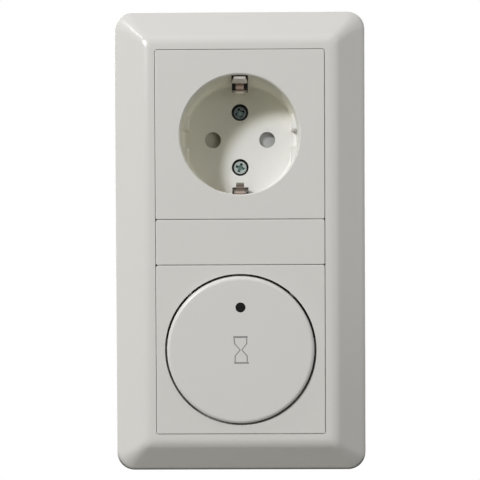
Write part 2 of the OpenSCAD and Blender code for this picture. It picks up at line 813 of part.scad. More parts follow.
// Sliding shutter: two ramped pads behind the pin holes, joined by two bars
module shutter() {
    color(grey_plastic) at_socket() difference() {
        block(shutter_l, shutter_w, shutter_overlap, shutter_back_z, shutter_z);
        box([shutter_gap_l, shutter_gap_w], shutter_back_z - over, shutter_z + over);
        for (s = [-1, 1]) translate([s * pin_pitch / 2 - shutter_pad_l / 2, 0, shutter_z])
            rotate([0, shutter_ramp, 0]) box([3 * shutter_pad_l, shutter_gap_w], 0, shutter_t);
    }
}

// Return spring between the base's peg and the shutter's right pad
module shutter_spring() {
    from_x = peg_x + shutter_peg_t / 2 + shutter_wire_d;
    to_x = shutter_gap_l / 2 - shutter_wire_d;
    color(steel) at_socket() translate([0, 0, (shutter_z + shutter_back_z) / 2]) rotate([0, 90, 0])
        wire(helix(shutter_spring_d / 2, from_x, to_x, shutter_coils, coil_steps), shutter_wire_d / 2,
            wire_sides);
}

module body_outline(z0, z1) {
    block(body_w, body_w, body_corner_r, z0, z1);
}

// Insulating body: pocket for the recess, channels for shutter and strap, wells for the contacts
module socket_base() {
    channel_w = strap_w + 2 * seat_play;
    channel_l = 2 * leg_reach + strap_t + 2 * run_play;
    color(dark_plastic) at_socket() difference() {
        union() {
            difference() {
                body_outline(base_back_z, 0);
                rod(pocket_r, cup_back_z - seat_play, over);
                translate([-shutter_travel / 2, 0, 0])
                    box([shutter_run, shutter_w + 2 * seat_play], strap_z, 0);
                for (s = [-1, 1]) translate([0, s * cover_screw_pitch / 2, 0])
                    rod(screw_boss_r + run_play, strap_z, 0);
                box([channel_w, channel_l], strap_back_z, 0);
            }
            translate([peg_x, 0, 0])
                box([shutter_peg_t, shutter_gap_w - 2 * run_play], strap_back_z, shutter_z);
        }
        for (s = [-1, 1]) {
            translate([s * pin_pitch / 2, 0, 0])
                rod(sleeve_r + run_play, base_back_z - over, strap_z + slice);
            translate([0, s * cover_screw_pitch / 2, 0])
                rod(cover_screw_d / 2 + run_play, screw_tip_z - over, strap_z);
        }
        translate([0, -leg_reach, 0])
            box([channel_w, bar_t + 2 * run_play], base_back_z - over, strap_back_z + over);
        at_corners(body_screw_pitch / 2) rod(body_screw_d / 2 + pin_play, base_back_z - over, over);
    }
}

// Split sleeve for one pin, with the bar that carries its two wire clamps
module contact(side) {
    bar_w = terminal_reach - pin_pitch / 2 + sleeve_r + wire_hole_w / 2;
    difference() {
        union() {
            translate([side * pin_pitch / 2, 0, 0]) rod(sleeve_r, bar_back_z, sleeve_z);
            translate([side * (pin_pitch / 2 - sleeve_r + bar_w / 2), 0, 0])
                box([bar_w, bar_l], bar_back_z, base_back_z);
        }
        translate([side * pin_pitch / 2, 0, 0]) {
            rod(sleeve_bore_d / 2, base_back_z, sleeve_z + over);
            box([sleeve_split, 3 * sleeve_r], base_back_z + sleeve_r, sleeve_z + over);
        }
    }
}

module line_contact() {
    color(brass) at_socket() contact(-1);
}

module neutral_contact() {
    color(brass) at_socket() contact(1);
}

module at_terminals() {
    for (t = terminals) translate(t[0]) rotate(t[1]) children();
}

module at_wires() {
    at_terminals() for (s = [-1, 1]) translate([0, s * wire_pitch / 2, 0]) children();
}

// Leaf that holds a wire: along the bar, round a bend that the lever's wing presses, and up to its tip
module clamp_leaf() {
    depth = bar_back_z - lever_top_z - seat_play - clamp_t / 2;
    path = [
        [-wire_hole_w / 2, -clamp_t / 2],
        [wing_x, -clamp_t / 2],
        [wing_x, -depth],
        [-clamp_t, -depth / 2]
    ];
    translate([0, clamp_w / 2, bar_back_z]) rotate([90, 0, 0]) linear_extrude(clamp_w)
        polygon(strip_outline(path, clamp_t));
}

module clamp_springs() {
    color(steel) at_socket() at_wires() clamp_leaf();
}

module socket_back_cover() {
    color(dark_plastic) at_socket() difference() {
        union() {
            difference() {
                body_outline(cover_back_z, base_back_z);
                block(body_w - 2 * body_wall, body_w - 2 * body_wall, body_corner_r - body_wall,
                    cover_inner_z, 0);
            }
            at_corners(body_screw_pitch / 2)
                rod(body_screw_head_d / 2 + body_wall, cover_back_z, base_back_z);
        }
        at_corners(body_screw_pitch / 2) {
            rod(body_screw_d / 2 + pin_play, cover_back_z - over, 0);
            rod(body_screw_head_d / 2 + seat_play, cover_back_z - over,
                cover_back_z + body_screw_head_h + seat_play);
        }
        at_wires() box([wire_hole_w, wire_hole_w], cover_back_z - over, cover_inner_z + over);
        at_terminals()
            box([lever_l + 2 * seat_play, lever_w + 2 * seat_play], cover_back_z - over,
                cover_inner_z + over);
    }
}

// Pusher that opens the two clamps of one pole: held in by its flange, stopped by its post
module release_lever(pole) {
    t = terminals[pole];
    at_socket() translate(t[0]) rotate(t[1]) {
        box([lever_l, lever_w], cover_back_z - lever_rise, lever_flange_z + slice);
        box([lever_l + 2 * lever_flange, lever_w + lever_flange], lever_flange_z, lever_top_z);
        translate([wing_x, 0, 0]) box([wing_w, wire_pitch + clamp_w], lever_flange_z, lever_top_z);
        box([wire_hole_w, wire_hole_w], lever_top_z - slice, bar_back_z - lever_travel);
    }
}

module line_release_lever() {
    color("#7a4a2c") release_lever(0);
}

module neutral_release_lever() {
    color("#3f6ea5") release_lever(1);
}

module earth_release_lever() {
    color("#5f8f3a") release_lever(2);
}

// Steel plate on the wall box, its outer end up: body bore, box screw holes, spare slots, the body's screws
module support_ring() {
    slot_run = (spare_slot_l - spare_slot_w) / 2;
    bore_r = ring_bore_d / 2;
    difference() {
        translate([0, (ring_out - ring_in) / 2, 0])
            block(ring_w, ring_in + ring_out, ring_corner_r, 0, ring_t);
        rod(bore_r, -over, ring_t + over);
        for (s = [-1, 1]) translate([s * box_screw_pitch / 2, 0, 0])
            rod(box_screw_hole_d / 2, -over, ring_t + over);
        for (end = [-ring_in, ring_out])
            translate([0, sign(end) * bore_r + spare_slot_place * (end - sign(end) * bore_r), 0]) {
                box([2 * slot_run, spare_slot_w], -over, ring_t + over);
                for (e = [-1, 1]) translate([e * slot_run, 0, 0])
                    rod(spare_slot_w / 2, -over, ring_t + over);
            }
        at_corners(body_screw_pitch / 2) rod(body_screw_d / 2 + pin_play, -over, ring_t + over);
    }
}

module socket_support_ring() {
    color(steel) at_socket() support_ring();
}

module timer_support_ring() {
    color(steel) at_timer() rotate(180) support_ring();
}

// Screws from the back of a flush body, through it and on to the height end_z
module body_screws(back_z, end_z) {
    seat_z = back_z + body_screw_head_h;
    at_corners(body_screw_pitch / 2) translate([0, 0, seat_z]) rotate([180, 0, 0])
        pan_screw(body_screw_d, body_screw_head_d, body_screw_head_h, end_z - seat_z);
}

module socket_housing_screws() {
    color(zinc) at_socket() body_screws(cover_back_z + seat_play, ring_t);
}

module timer_housing_screws() {
    color(zinc) at_timer() body_screws(housing_back_z + seat_play, carrier_z - seat_play);
}

module timer_cover() {
    clip_l = tower_w / 2;
    color(ivory) at_timer() {
        difference() {
            union() {
                edged_plate(plate_w, plate_w, ledge_z, frame_rise);
                rod(button_hole_d / 2 + plate_wall / 2, collar_z, plate_back_z);
            }
            difference() {
                box([plate_w - 2 * plate_wall, plate_w - 2 * plate_wall], ledge_z - over, plate_back_z);
                rod(button_hole_d / 2 + plate_wall / 2, collar_z - over, frame_rise);
            }
            rod(button_hole_d / 2, collar_z - over, frame_rise + over);
        }
        for (c = corners) translate([c[0] * tower_offset, c[1] * tower_offset, 0]) {
            box([clip_l, clip_t], carrier_z + seat_play, plate_back_z + slice);
            translate([-clip_l / 2, c[1] * clip_t / 2, tower_z - clip_t]) rotate([0, 90, 0])
                linear_extrude(clip_l)
                polygon([[0, 0], [0, c[1] * clip_catch], [2 * clip_catch, 0]]);
        }
    }
}

module timer_button() {
    post_r = plunger_d / 2 + floor_t;
    boss_r = spring_d / 2 - spring_wire_d / 2 - seat_play;
    guide_r = lamp_d / 2 + pin_play;
    color(button_white) at_timer() difference() {
        union() {
            rotate_extrude() {
                translate([0, button_back_z]) square([button_r - button_edge_r, button_t]);
                translate([button_r - button_wall, skirt_z])
                    square([button_wall, button_z - button_edge_r - skirt_z]);
                translate([button_r - button_edge_r, button_z - button_edge_r]) circle(button_edge_r);
            }
            rod(post_r, skirt_z, button_back_z + slice);
            translate([0, lamp_offset, 0]) rod(guide_r + floor_t, guide_seat_z, button_back_z + slice);
            at_springs() rod(boss_r, button_back_z - button_t, button_back_z + slice);
            hooks();
        }
        translate([0, lamp_offset, 0]) rod(guide_r, skirt_z, button_z + over);
    }
}

// Hooks at the foot of the button's skirt, which catch under the cover's collar
module hooks() {
    intersection() {
        difference() {
            rod(button_r + hook_reach, skirt_z, skirt_z + hook_t);
            rod(button_r - button_wall / 2, skirt_z - over, button_z);
        }
        for (a = [0 : 360 / hook_count : 359]) rotate(a) translate([button_r, 0, 0])
            box([4 * hook_reach + button_wall, hook_w], skirt_z - over, button_z);
    }
}

module at_springs() {
    for (a = [-90 : 120 : 150]) rotate(a) translate([spring_offset, 0, 0]) children();
}

// Light guide with the collar that seats it on its tube in the button
module indicator_lens() {
    color("#1d1c1b") at_timer() translate([0, lamp_offset, 0]) {
        rod(lamp_d / 2, guide_z, button_z - seat_play);
        rod(lamp_d / 2 + floor_t, guide_z, guide_seat_z);
    }
}

module button_springs() {
    color(steel) at_timer() at_springs()
        wire(helix(spring_d / 2, carrier_z + spring_wire_d, button_back_z - spring_wire_d, spring_coils,
            coil_steps), spring_wire_d / 2, wire_sides);
}

// Carrier in front of the ring: spring cups, sockets for the cover's clips and feet on the board
module timer_carrier() {
    cup_r = spring_d / 2 + spring_wire_d / 2 + seat_play;
    slot = [tower_w / 2 + 2 * seat_play, clip_t + 2 * clip_catch];
    color(dark_plastic) at_timer() difference() {
        union() {
            block(carrier_w, carrier_w, ring_corner_r, ring_t, carrier_z);
            for (c = corners) translate([c[0] * tower_offset, c[1] * tower_offset, 0]) difference() {
                box([tower_w, tower_w], ring_t, tower_z);
                translate([0, c[1] * tower_w / 2, 0])
                    box([slot[0], tower_w / 2], carrier_z + seat_play, tower_z - clip_t);
            }
            at_corners(foot_offset) rod(foot_d / 2, board_z, carrier_z);
            at_springs() rod(cup_r + floor_t, ring_t, carrier_z + floor_t);
        }
        at_springs() rod(cup_r, carrier_z, button_z);
        at_corners(tower_offset) box(slot, carrier_z, frame_rise);
        at_corners(body_screw_pitch / 2) rod(body_screw_d / 2 + pin_play, ring_t - over, carrier_z + over);
        rod(key_w / sqrt(2) + run_play, board_z - over, button_z);
        translate([0, lamp_offset, 0]) rod(lamp_d / 2 + floor_t, board_z - over, button_z);
    }
}

module timer_housing() {
    boss_r = body_screw_head_d / 2 + floor_t;
    inner_w = body_w - 2 * body_wall;
    nest = [block_w + 2 * seat_play, 2 * (block_d + seat_play)];
    color(dark_plastic) at_timer() difference() {
        union() {
            difference() {
                body_outline(housing_back_z, 0);
                block(inner_w, inner_w, body_corner_r - body_wall, housing_back_z + body_wall, over);
            }
            intersection() {
                body_outline(housing_back_z, board_back_z);
                union() {
                    at_corners(body_screw_pitch / 2) rod(boss_r, housing_back_z, board_back_z);
                    translate([0, -block_side, 0])
                        box([nest[0] + 2 * body_wall, nest[1] + 2 * body_wall], housing_back_z,
                            block_z + body_wall);
                }
            }
        }
        at_corners(body_screw_pitch / 2) {
            rod(body_screw_d / 2 + pin_play, housing_back_z - over, over);
            rod(body_screw_head_d / 2 + seat_play, housing_back_z - over,
                housing_back_z + body_screw_head_h + seat_play);
        }
        translate([0, -block_side, 0]) box(nest, housing_back_z - over, block_z);
        at_clamps()
            box([clamp_pin_w + 2 * seat_play, clamp_pin_w + 2 * seat_play], block_z - over, board_back_z);
    }
}

// Board with its corners cut off beside the body's screws
module circuit_board() {
    board_w = body_w - 2 * body_wall - 2 * seat_play;
    cut_w = 2 * (body_screw_reach - body_screw_d / 2 - seat_play);
    color("#2f6b46") at_timer() difference() {
        intersection() {
            box([board_w, board_w], board_back_z, board_z);
            rotate(45) box([cut_w, cut_w], board_back_z - over, board_z + over);
        }
        at_clamps()
            box([clamp_pin_w + 2 * seat_play, clamp_pin_w + 2 * seat_play], board_back_z - over,
                board_z + over);
    }
}

module push_switch() {
    color(dark_plastic) at_timer() difference() {
        block(key_w, key_w, floor_t, board_z, key_z);
        rod(plunger_d / 2 + pin_play, board_z + floor_t, key_z + over);
    }
}

module switch_plunger() {
    color("#d8d4c8") at_timer() rod(plunger_d / 2, plunger_back_z, plunger_z);
}

module indicator_led() {
    led_r = lamp_d / 2;
    color("#a33a32") at_timer() translate([0, lamp_offset, 0]) {
        rod(led_r + floor_t / 2, board_z, board_z + floor_t);
        rod(led_r, board_z, carrier_z - led_r);
        translate([0, 0, carrier_z - led_r]) sphere(led_r);
    }
}

// Component with rounded corners that hangs on the back of the board
module board_part(w, t, h, r) {
    block(w, t, r, board_back_z - h, board_back_z);
}

module relay() {
    color("#27292d") at_timer() translate([0, relay_y, 0]) board_part(relay_w, relay_t, relay_h, floor_t);
}

module film_capacitor() {
    color("#c9b23c") at_timer()
        translate([-film_w / 2, row_y, 0]) board_part(film_w, film_t, film_h, floor_t);
}

module electrolytic_capacitor() {
    can_back_z = board_back_z - can_h;
    color("#2d3a5c") at_timer() translate([can_x, row_y, 0]) difference() {
        rod(can_d / 2, can_back_z, board_back_z);
        for (a = [0, 90]) rotate(a)
            box([can_d - 3 * floor_t, floor_t / 2], can_back_z - over, can_back_z + floor_t / 2);
    }
}

module controller_chip() {
    color("#1f2022") at_timer() translate([-key_w - chip_l / 2, row_y, 0])
        box([chip_l, chip_w], board_z, board_z + chip_h);
}

module varistor() {
    center_z = board_back_z - varistor_d / 2 - floor_t;
    color("#7f9cc0") at_timer() translate([can_x + can_d / 2 + varistor_t, row_y, 0]) {
        translate([-varistor_t / 2, 0, center_z]) rotate([0, 90, 0])
            cylinder(d = varistor_d, h = varistor_t);
        for (s = [-1, 1]) translate([0, s * varistor_d / 4, 0])
            box([floor_t, floor_t], center_z, board_back_z);
    }
}

// Timer terminals: cages in the block, wires from below and screws from the back
module at_clamps() {
    for (i = [-1.5 : 1 : 1.5]) translate([i * block_pitch, cage_y, 0]) children();
}

module timer_terminal_block() {
    mouth_z = cage_z + cage_h / 2;
    color(grey_plastic) at_timer() difference() {
        translate([0, -block_side + block_d / 2, 0]) box([block_w, block_d], housing_back_z, block_z);
        at_clamps() {
            box([cage_w + 2 * seat_play, cage_d + 2 * seat_play], cage_z - seat_play, block_z + over);
            rod(terminal_head_d / 2 + seat_play, housing_back_z - over, cage_z);
            translate([0, -block_d / 2, 0])
                box([wire_hole_w, block_d], mouth_z - wire_hole_w / 2, mouth_z + wire_hole_w / 2);
        }
    }
}

module timer_terminal_clamps() {
    color(brass) at_timer() at_clamps() {
        difference() {
            box([cage_w, cage_d], cage_z, cage_z + cage_h);
            box([cage_w - 2 * cage_wall, cage_d + over], cage_z + cage_wall, cage_z + cage_h - cage_wall);
            rod(terminal_screw_d / 2 + pin_play, cage_z - over, cage_z + 2 * cage_wall);
        }
        box([clamp_pin_w, clamp_pin_w], cage_z + cage_h - slice, board_z);
    }
}

module timer_terminal_screws() {
    color(zinc) at_timer() at_clamps() difference() {
        union() {
            rod(terminal_head_d / 2, cage_z - terminal_head_h, cage_z);
            rod(terminal_screw_d / 2, cage_z - slice, cage_z + 2 * cage_wall);
        }
        box([terminal_head_d + over, floor_t], cage_z - terminal_head_h - over,
            cage_z - terminal_head_h + floor_t);
    }
}

cover_frame();
filler_strip();
socket_cover();
socket_cover_screws();
earth_strap();
shutter();
shutter_spring();
socket_base();
line_contact();
neutral_contact();
clamp_springs();
socket_back_cover();
line_release_lever();
neutral_release_lever();
earth_release_lever();
socket_support_ring();
socket_housing_screws();
timer_cover();
timer_button();
indicator_lens();
button_springs();
timer_carrier();
timer_support_ring();
timer_housing();
timer_housing_screws();
circuit_board();
push_switch();
switch_plunger();
indicator_led();
relay();
film_capacitor();
electrolytic_capacitor();
controller_chip();
varistor();
timer_terminal_block();
timer_terminal_clamps();
timer_terminal_screws();
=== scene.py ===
"""Dressed scene of a flush wall unit: an earthed socket outlet above a timer push button, in one frame."""

import json
import logging
import math
from dataclasses import dataclass
from enum import Enum
from typing import Any, Callable, ClassVar, Dict, List, Mapping, Optional, Sequence, Tuple, Union

import bmesh
import bpy
from mathutils import Euler, Matrix, Vector


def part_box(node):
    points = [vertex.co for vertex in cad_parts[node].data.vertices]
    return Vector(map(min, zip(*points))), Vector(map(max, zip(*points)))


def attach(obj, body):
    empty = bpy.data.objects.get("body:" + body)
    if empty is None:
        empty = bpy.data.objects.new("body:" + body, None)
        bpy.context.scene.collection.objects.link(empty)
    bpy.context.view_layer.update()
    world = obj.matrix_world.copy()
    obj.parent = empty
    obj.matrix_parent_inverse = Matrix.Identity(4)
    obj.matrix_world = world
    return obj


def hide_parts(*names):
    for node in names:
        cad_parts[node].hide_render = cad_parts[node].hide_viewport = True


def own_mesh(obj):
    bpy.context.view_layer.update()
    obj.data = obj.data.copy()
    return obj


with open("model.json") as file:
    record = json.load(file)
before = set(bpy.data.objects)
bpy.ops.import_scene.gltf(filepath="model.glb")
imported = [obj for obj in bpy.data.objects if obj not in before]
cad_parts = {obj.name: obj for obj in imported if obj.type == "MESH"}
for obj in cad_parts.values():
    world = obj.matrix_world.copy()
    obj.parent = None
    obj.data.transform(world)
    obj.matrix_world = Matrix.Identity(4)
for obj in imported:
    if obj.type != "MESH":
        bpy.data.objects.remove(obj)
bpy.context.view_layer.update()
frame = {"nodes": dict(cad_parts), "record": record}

Pair = Tuple[float, float]
Triple = Tuple[float, float, float]
Stops = Tuple[Tuple[float, Triple], ...]
Key = Union[str, int]
Feed = Union["Field", float, Sequence[float], str, bool, bpy.types.ID]
Sockets = Mapping[Key, Feed]
Material = bpy.types.Material
Mesh = bpy.types.Mesh
Object = bpy.types.Object

MM = 0.001
QUARTER_TURN = math.pi / 2
FULL_TURN = 2.0 * math.pi
CORNERS = ((-1, -1), (1, -1), (1, 1), (-1, 1))
GANG_HEIGHT = 35.5 * MM
LOG = logging.getLogger("wall_unit")


def operator(operation: str, meaning: str, swapped: bool = False) -> Callable[..., "Field"]:
    """Make one of Field's operators.

    Args:
        operation: the Math node's operation.
        meaning: the operator's docstring.
        swapped: whether the other value comes first.

    Returns:
        The method, which adds the Math node.
    """
    def method(self: "Field", *others: Feed) -> "Field":
        """Add the Math node."""
        values = (*others, self) if swapped else (self, *others)
        return self.graph.node("ShaderNodeMath", dict(enumerate(values)), operation=operation)

    method.__doc__ = meaning
    return method


class Field:
    """One output of a node, which can be used in arithmetic."""

    def __init__(self, graph: "Graph", node: bpy.types.Node, name: Optional[str] = None) -> None:
        """Find the output.

        Args:
            graph: the tree that the node is in.
            node: the node.
            name: the output's name; the first one in use if left out.
        """
        self.graph = graph
        self.node = node
        fits = (s for s in node.outputs if not s.is_unavailable and name in (None, s.name))
        self.socket = next(fits, None)

    def __getitem__(self, name: str) -> "Field":
        """Another output of the same node."""
        return Field(self.graph, self.node, name)

    __add__ = operator("ADD", "Sum.")
    __radd__ = operator("ADD", "Sum, with the number first.", swapped=True)
    __sub__ = operator("SUBTRACT", "Difference.")
    __rsub__ = operator("SUBTRACT", "Difference, with the number first.", swapped=True)
    __mul__ = operator("MULTIPLY", "Product.")
    __rmul__ = operator("MULTIPLY", "Product, with the number first.", swapped=True)
    __truediv__ = operator("DIVIDE", "Quotient.")
    __rtruediv__ = operator("DIVIDE", "Quotient, with the number first.", swapped=True)
    __pow__ = operator("POWER", "Power.")
    __rpow__ = operator("POWER", "Power, with the number first.", swapped=True)
    __gt__ = operator("GREATER_THAN", "One where this is greater, else zero.")
    __lt__ = operator("LESS_THAN", "One where this is less, else zero.")
    __abs__ = operator("ABSOLUTE", "Size without sign.")
    sine = operator("SINE", "Sine of an angle in radians.")
    cosine = operator("COSINE", "Cosine of an angle in radians.")
    root = operator("SQRT", "Square root.")
    most = operator("MAXIMUM", "The greater of the two.")
    least = operator("MINIMUM", "The lesser of the two.")
    zigzag = operator("PINGPONG", "Triangle wave between zero and a peak.")

    def parts(self) -> Tuple["Field", "Field", "Field"]:
        """The three numbers of a vector."""
        made = self.graph.node("ShaderNodeSeparateXYZ", {0: self})
        return made["X"], made["Y"], made["Z"]


def reach(first: Field, second: Field) -> Field:
    """How far a point lies from the middle, by its two distances."""
    return (first * first + second * second).root()


class Graph:
    """A node tree that is filled through one method."""

    def __init__(self, tree: bpy.types.NodeTree) -> None:
        """Start on an empty tree."""
        self.tree = tree
        tree.nodes.clear()

    def node(self, kind: str, feeds: Optional[Sockets] = None, **settings: Any) -> Field:
        """Add a node.

        Args:
            kind: the node's type.
            feeds: a value or a link for each socket, by name or by place.
            settings: its properties, which are set first; stops are those of a colour ramp.

        Returns:
            The node's first output, from which the others can be had by name.
        """
        node = self.tree.nodes.new(kind)
        for name, value in settings.items():
            if name == "stops":
                self._set_stops(node.color_ramp, value)
            else:
                setattr(node, name, value)
        for key, value in (feeds or {}).items():
            socket = self._input(node, key)
            if isinstance(value, Field):
                self.tree.links.new(value.socket, socket)
            else:
                socket.default_value = value
        return Field(self, node)

    @staticmethod
    def _input(node: bpy.types.Node, key: Key) -> bpy.types.NodeSocket:
        """Find a node's input, by its name or its place among those in use."""
        used = [socket for socket in node.inputs if not socket.is_unavailable]
        return used[key] if isinstance(key, int) else next(s for s in used if s.name == key)

    @staticmethod
    def _set_stops(ramp: bpy.types.ColorRamp, stops: Stops) -> None:
        """Give a ramp its stops.

        Args:
            ramp: the ramp.
            stops: places and colours, in order.
        """
        while len(ramp.elements) < len(stops):
            ramp.elements.new(1.0)
        for element, (place, colour) in zip(ramp.elements, stops):
            element.position = place
            element.color = opaque(colour)

    def vector(self, x: Feed = 0.0, y: Feed = 0.0, z: Feed = 0.0) -> Field:
        """Join three numbers to a vector."""
        return self.node("ShaderNodeCombineXYZ", {"X": x, "Y": y, "Z": z})


def placed(name: str, data: bpy.types.ID) -> Object:
    """Put a new object in the scene, at the origin.

    Args:
        name: the object's name.
        data: its mesh, light or camera.

    Returns:
        The object.
    """
    made = bpy.data.objects.new(name, data)
    bpy.context.scene.collection.objects.link(made)
    return made


# Finishes


def opaque(colour: Triple, factor: float = 1.0) -> Tuple[float, float, float, float]:
    """A colour made lighter or darker, with full cover."""
    return (colour[0] * factor, colour[1] * factor, colour[2] * factor, 1.0)


class Paint(Graph):
    """A material's tree, with the patterns that the finishes share."""

    plain: ClassVar[float] = 2.0
    rich: ClassVar[float] = 3.0
    layer_share: ClassVar[float] = 0.55

    def __init__(self, name: str) -> None:
        """Start an empty material.

        Args:
            name: the material's name.
        """
        self.material = bpy.data.materials.new(name)
        self.material.use_nodes = True
        super().__init__(self.material.node_tree)

    def place(self, centre: Triple = (0.0, 0.0, 0.0), stretch: Triple = (1.0, 1.0, 1.0)) -> Field:
        """Object coordinates about a centre.

        Args:
            centre: the pattern's middle, in metres.
            stretch: how much finer the pattern gets along each axis.

        Returns:
            The coordinates.
        """
        raw = self.node("ShaderNodeTexCoord")["Object"]
        shift = tuple(-c * s for c, s in zip(centre, stretch))
        feeds = {"Vector": raw, "Location": shift, "Scale": stretch}
        return self.node("ShaderNodeMapping", feeds, vector_type="POINT")

    def noise(self, scale: float, detail: float = plain, place: Optional[Field] = None) -> Field:
        """Cloudy noise around one half.

        Args:
            scale: how fine it is, in waves per metre.
            detail: how many finer layers it has.
            place: the coordinates, the object's own if left out.

        Returns:
            The noise's value.
        """
        feeds = {"Vector": place or self.place(), "Scale": scale, "Detail": detail,
                 "Roughness": self.layer_share}
        return self.node("ShaderNodeTexNoise", feeds)

    def stray(self, scale: float, width: float, detail: float = plain) -> Field:
        """Noise about zero, within a width."""
        return (self.noise(scale, detail) - 0.5) * width

    def cells(self, scale: float) -> Field:
        """A random grey for each cell of a crystal pattern, whose scale is in cells per metre."""
        cells = self.node("ShaderNodeTexVoronoi", {"Vector": self.place(), "Scale": scale}, feature="F1")
        return self.node("ShaderNodeSeparateColor", {0: cells["Color"]})

    def span(self, value: Field, low: float, high: float, to_low: float = 0.0, to_high: float = 1.0) -> Field:
        """Map a value from one span to another, clamped and eased at both ends."""
        feeds = {"Value": value, "From Min": low, "From Max": high, "To Min": to_low, "To Max": to_high}
        return self.node("ShaderNodeMapRange", feeds, interpolation_type="SMOOTHSTEP")

    def mix(self, factor: Feed, first: Feed, second: Feed) -> Field:
        """Mix two colours."""
        feeds = {"Factor": factor, "A": first, "B": second}
        return self.node("ShaderNodeMix", feeds, data_type="RGBA", clamp_factor=True)

    def varied(self, pattern: Field, colour: Triple, share: float) -> Field:
        """A colour that a pattern makes darker and lighter by a share."""
        return self.mix(pattern, opaque(colour, 1.0 - share), opaque(colour, 1.0 + share))

    def ramp(self, factor: Field, stops: Stops) -> Field:
        """Colour a value by stops."""
        return self.node("ShaderNodeValToRGB", {0: factor}, stops=stops)["Color"]

    def bump(self, height: Field, depth: float) -> Field:
        """Turn a height pattern, 0 to 1, into a normal; its full height is given in metres."""
        feeds = {"Height": height, "Distance": depth, "Strength": 1.0}
        return self.node("ShaderNodeBump", feeds)


class Finish:
    """What the finishes share: each gives its shader's values, and becomes a material."""

    def feeds(self, paint: Paint) -> Sockets:
        """Give what the shader's sockets get; each finish has its own."""
        raise NotImplementedError

    def material(self, name: str) -> Material:
        """Make the material.

        Args:
            name: the material's name.

        Returns:
            The finished material.
        """
        paint = Paint(name)
        shader = paint.node("ShaderNodeBsdfPrincipled", self.feeds(paint))
        paint.node("ShaderNodeOutputMaterial", {"Surface": shader})
        return paint.material


IVORY: Triple = (0.732, 0.715, 0.685)
IVORY_GLOSS = 0.24


@dataclass(frozen=True)
class MouldedPlastic(Finish):
    """Moulded plastic: faint flow clouds, uneven gloss and a fine grain from the mould."""

    colour: Triple
    cloud: float = 0.008
    cloud_scale: float = 45.0
    gloss: float = 0.34
    gloss_drift: float = 0.05
    drift_scale: float = 180.0
    grain_scale: float = 2400.0
    grain_depth: float = 3e-6

    def clouded(self, paint: Paint, colour: Triple) -> Field:
        """Give a colour its faint clouds."""
        return paint.varied(paint.noise(self.cloud_scale, paint.rich), colour, self.cloud)

    def shade(self, paint: Paint) -> Field:
        """Give the colour over the surface."""
        return self.clouded(paint, self.colour)

    def rough(self, _paint: Paint) -> Feed:
        """Give the mean roughness over the surface."""
        return self.gloss

    def feeds(self, paint: Paint) -> Sockets:
        """Give what the shader's sockets get.

        Args:
            paint: the material's tree.

        Returns:
            Values and links by socket.
        """
        grain = paint.noise(self.grain_scale)
        drift = paint.stray(self.drift_scale, 2.0 * self.gloss_drift)
        return {
            "Base Color": self.shade(paint),
            "Roughness": drift + (grain - 0.5) * self.gloss_drift + self.rough(paint),
            "Normal": paint.bump(grain, self.grain_depth),
        }


@dataclass(frozen=True)
class FootShadePlastic(MouldedPlastic):
    """Plastic of the cover frame, with a dust line where its lower edge meets the wall."""

    # Painted shade: a dark colour laid along the frame's foot, strongest at the lower edge.
    foot_shade: Triple = (0.08, 0.08, 0.07)
    foot_shade_rough: float = 0.3
    foot: Pair = (-3.3 * MM, -2.0 * MM)
    lower: Pair = (-71.0 * MM, -76.0 * MM)
    side: Pair = (39.5 * MM, 41.5 * MM)
    side_share: float = 0.25

    def foot_shade_share(self, paint: Paint) -> Field:
        """Find the dust: along the lower edge, and a little on the side away from the light.

        Args:
            paint: the material's tree.

        Returns:
            Its cover, 0 to 1.
        """
        across, depth, up = paint.place().parts()
        side = paint.span(across, *self.side, 0.0, self.side_share)
        near = paint.span(depth, *self.foot)
        return paint.span(up, *self.lower).most(side) * near * near

    def shade(self, paint: Paint) -> Field:
        """Give the colour over the surface."""
        # The painted shade is mixed over the plastic here.
        return paint.mix(self.foot_shade_share(paint), super().shade(paint), opaque(self.foot_shade))

    def rough(self, paint: Paint) -> Feed:
        """Give the mean roughness over the surface."""
        return self.foot_shade_share(paint) * self.foot_shade_rough + self.gloss


@dataclass(frozen=True)
class ShadeTintedPlastic(MouldedPlastic):
    """Plastic of the socket's inside, which has yellowed except round one pale spot."""

    # Painted shade: this tint is laid where the key light's shadow falls in the recess; spot is the middle of
    # the lit part.
    shade_tint: Triple = (0.80, 0.785, 0.68)
    axis: Triple = (0.0, 0.0, GANG_HEIGHT)
    spot: Pair = (15.0 * MM, -12.0 * MM)
    lit_spot_r: float = 17.0 * MM
    shade_tint_r: float = 24.0 * MM
    ragged: float = 3.0 * MM
    ragged_scale: float = 60.0

    def age(self, paint: Paint) -> Field:
        """Find how far the plastic has yellowed.

        Args:
            paint: the material's tree.

        Returns:
            Its age, 0 to 1.
        """
        across, _, up = paint.place(self.axis).parts()
        away = reach(across - self.spot[0], up - self.spot[1])
        return paint.span(away + paint.stray(self.ragged_scale, self.ragged), self.lit_spot_r, self.shade_tint_r)

    def shade_tint_colour(self, _paint: Paint) -> Feed:
        """Give the colour where the plastic has yellowed."""
        return opaque(self.shade_tint)

    def shade(self, paint: Paint) -> Field:
        """Give the colour over the surface."""
        # The painted shade tint is mixed over the plastic here.
        return paint.mix(self.age(paint), super().shade(paint), self.shade_tint_colour(paint))


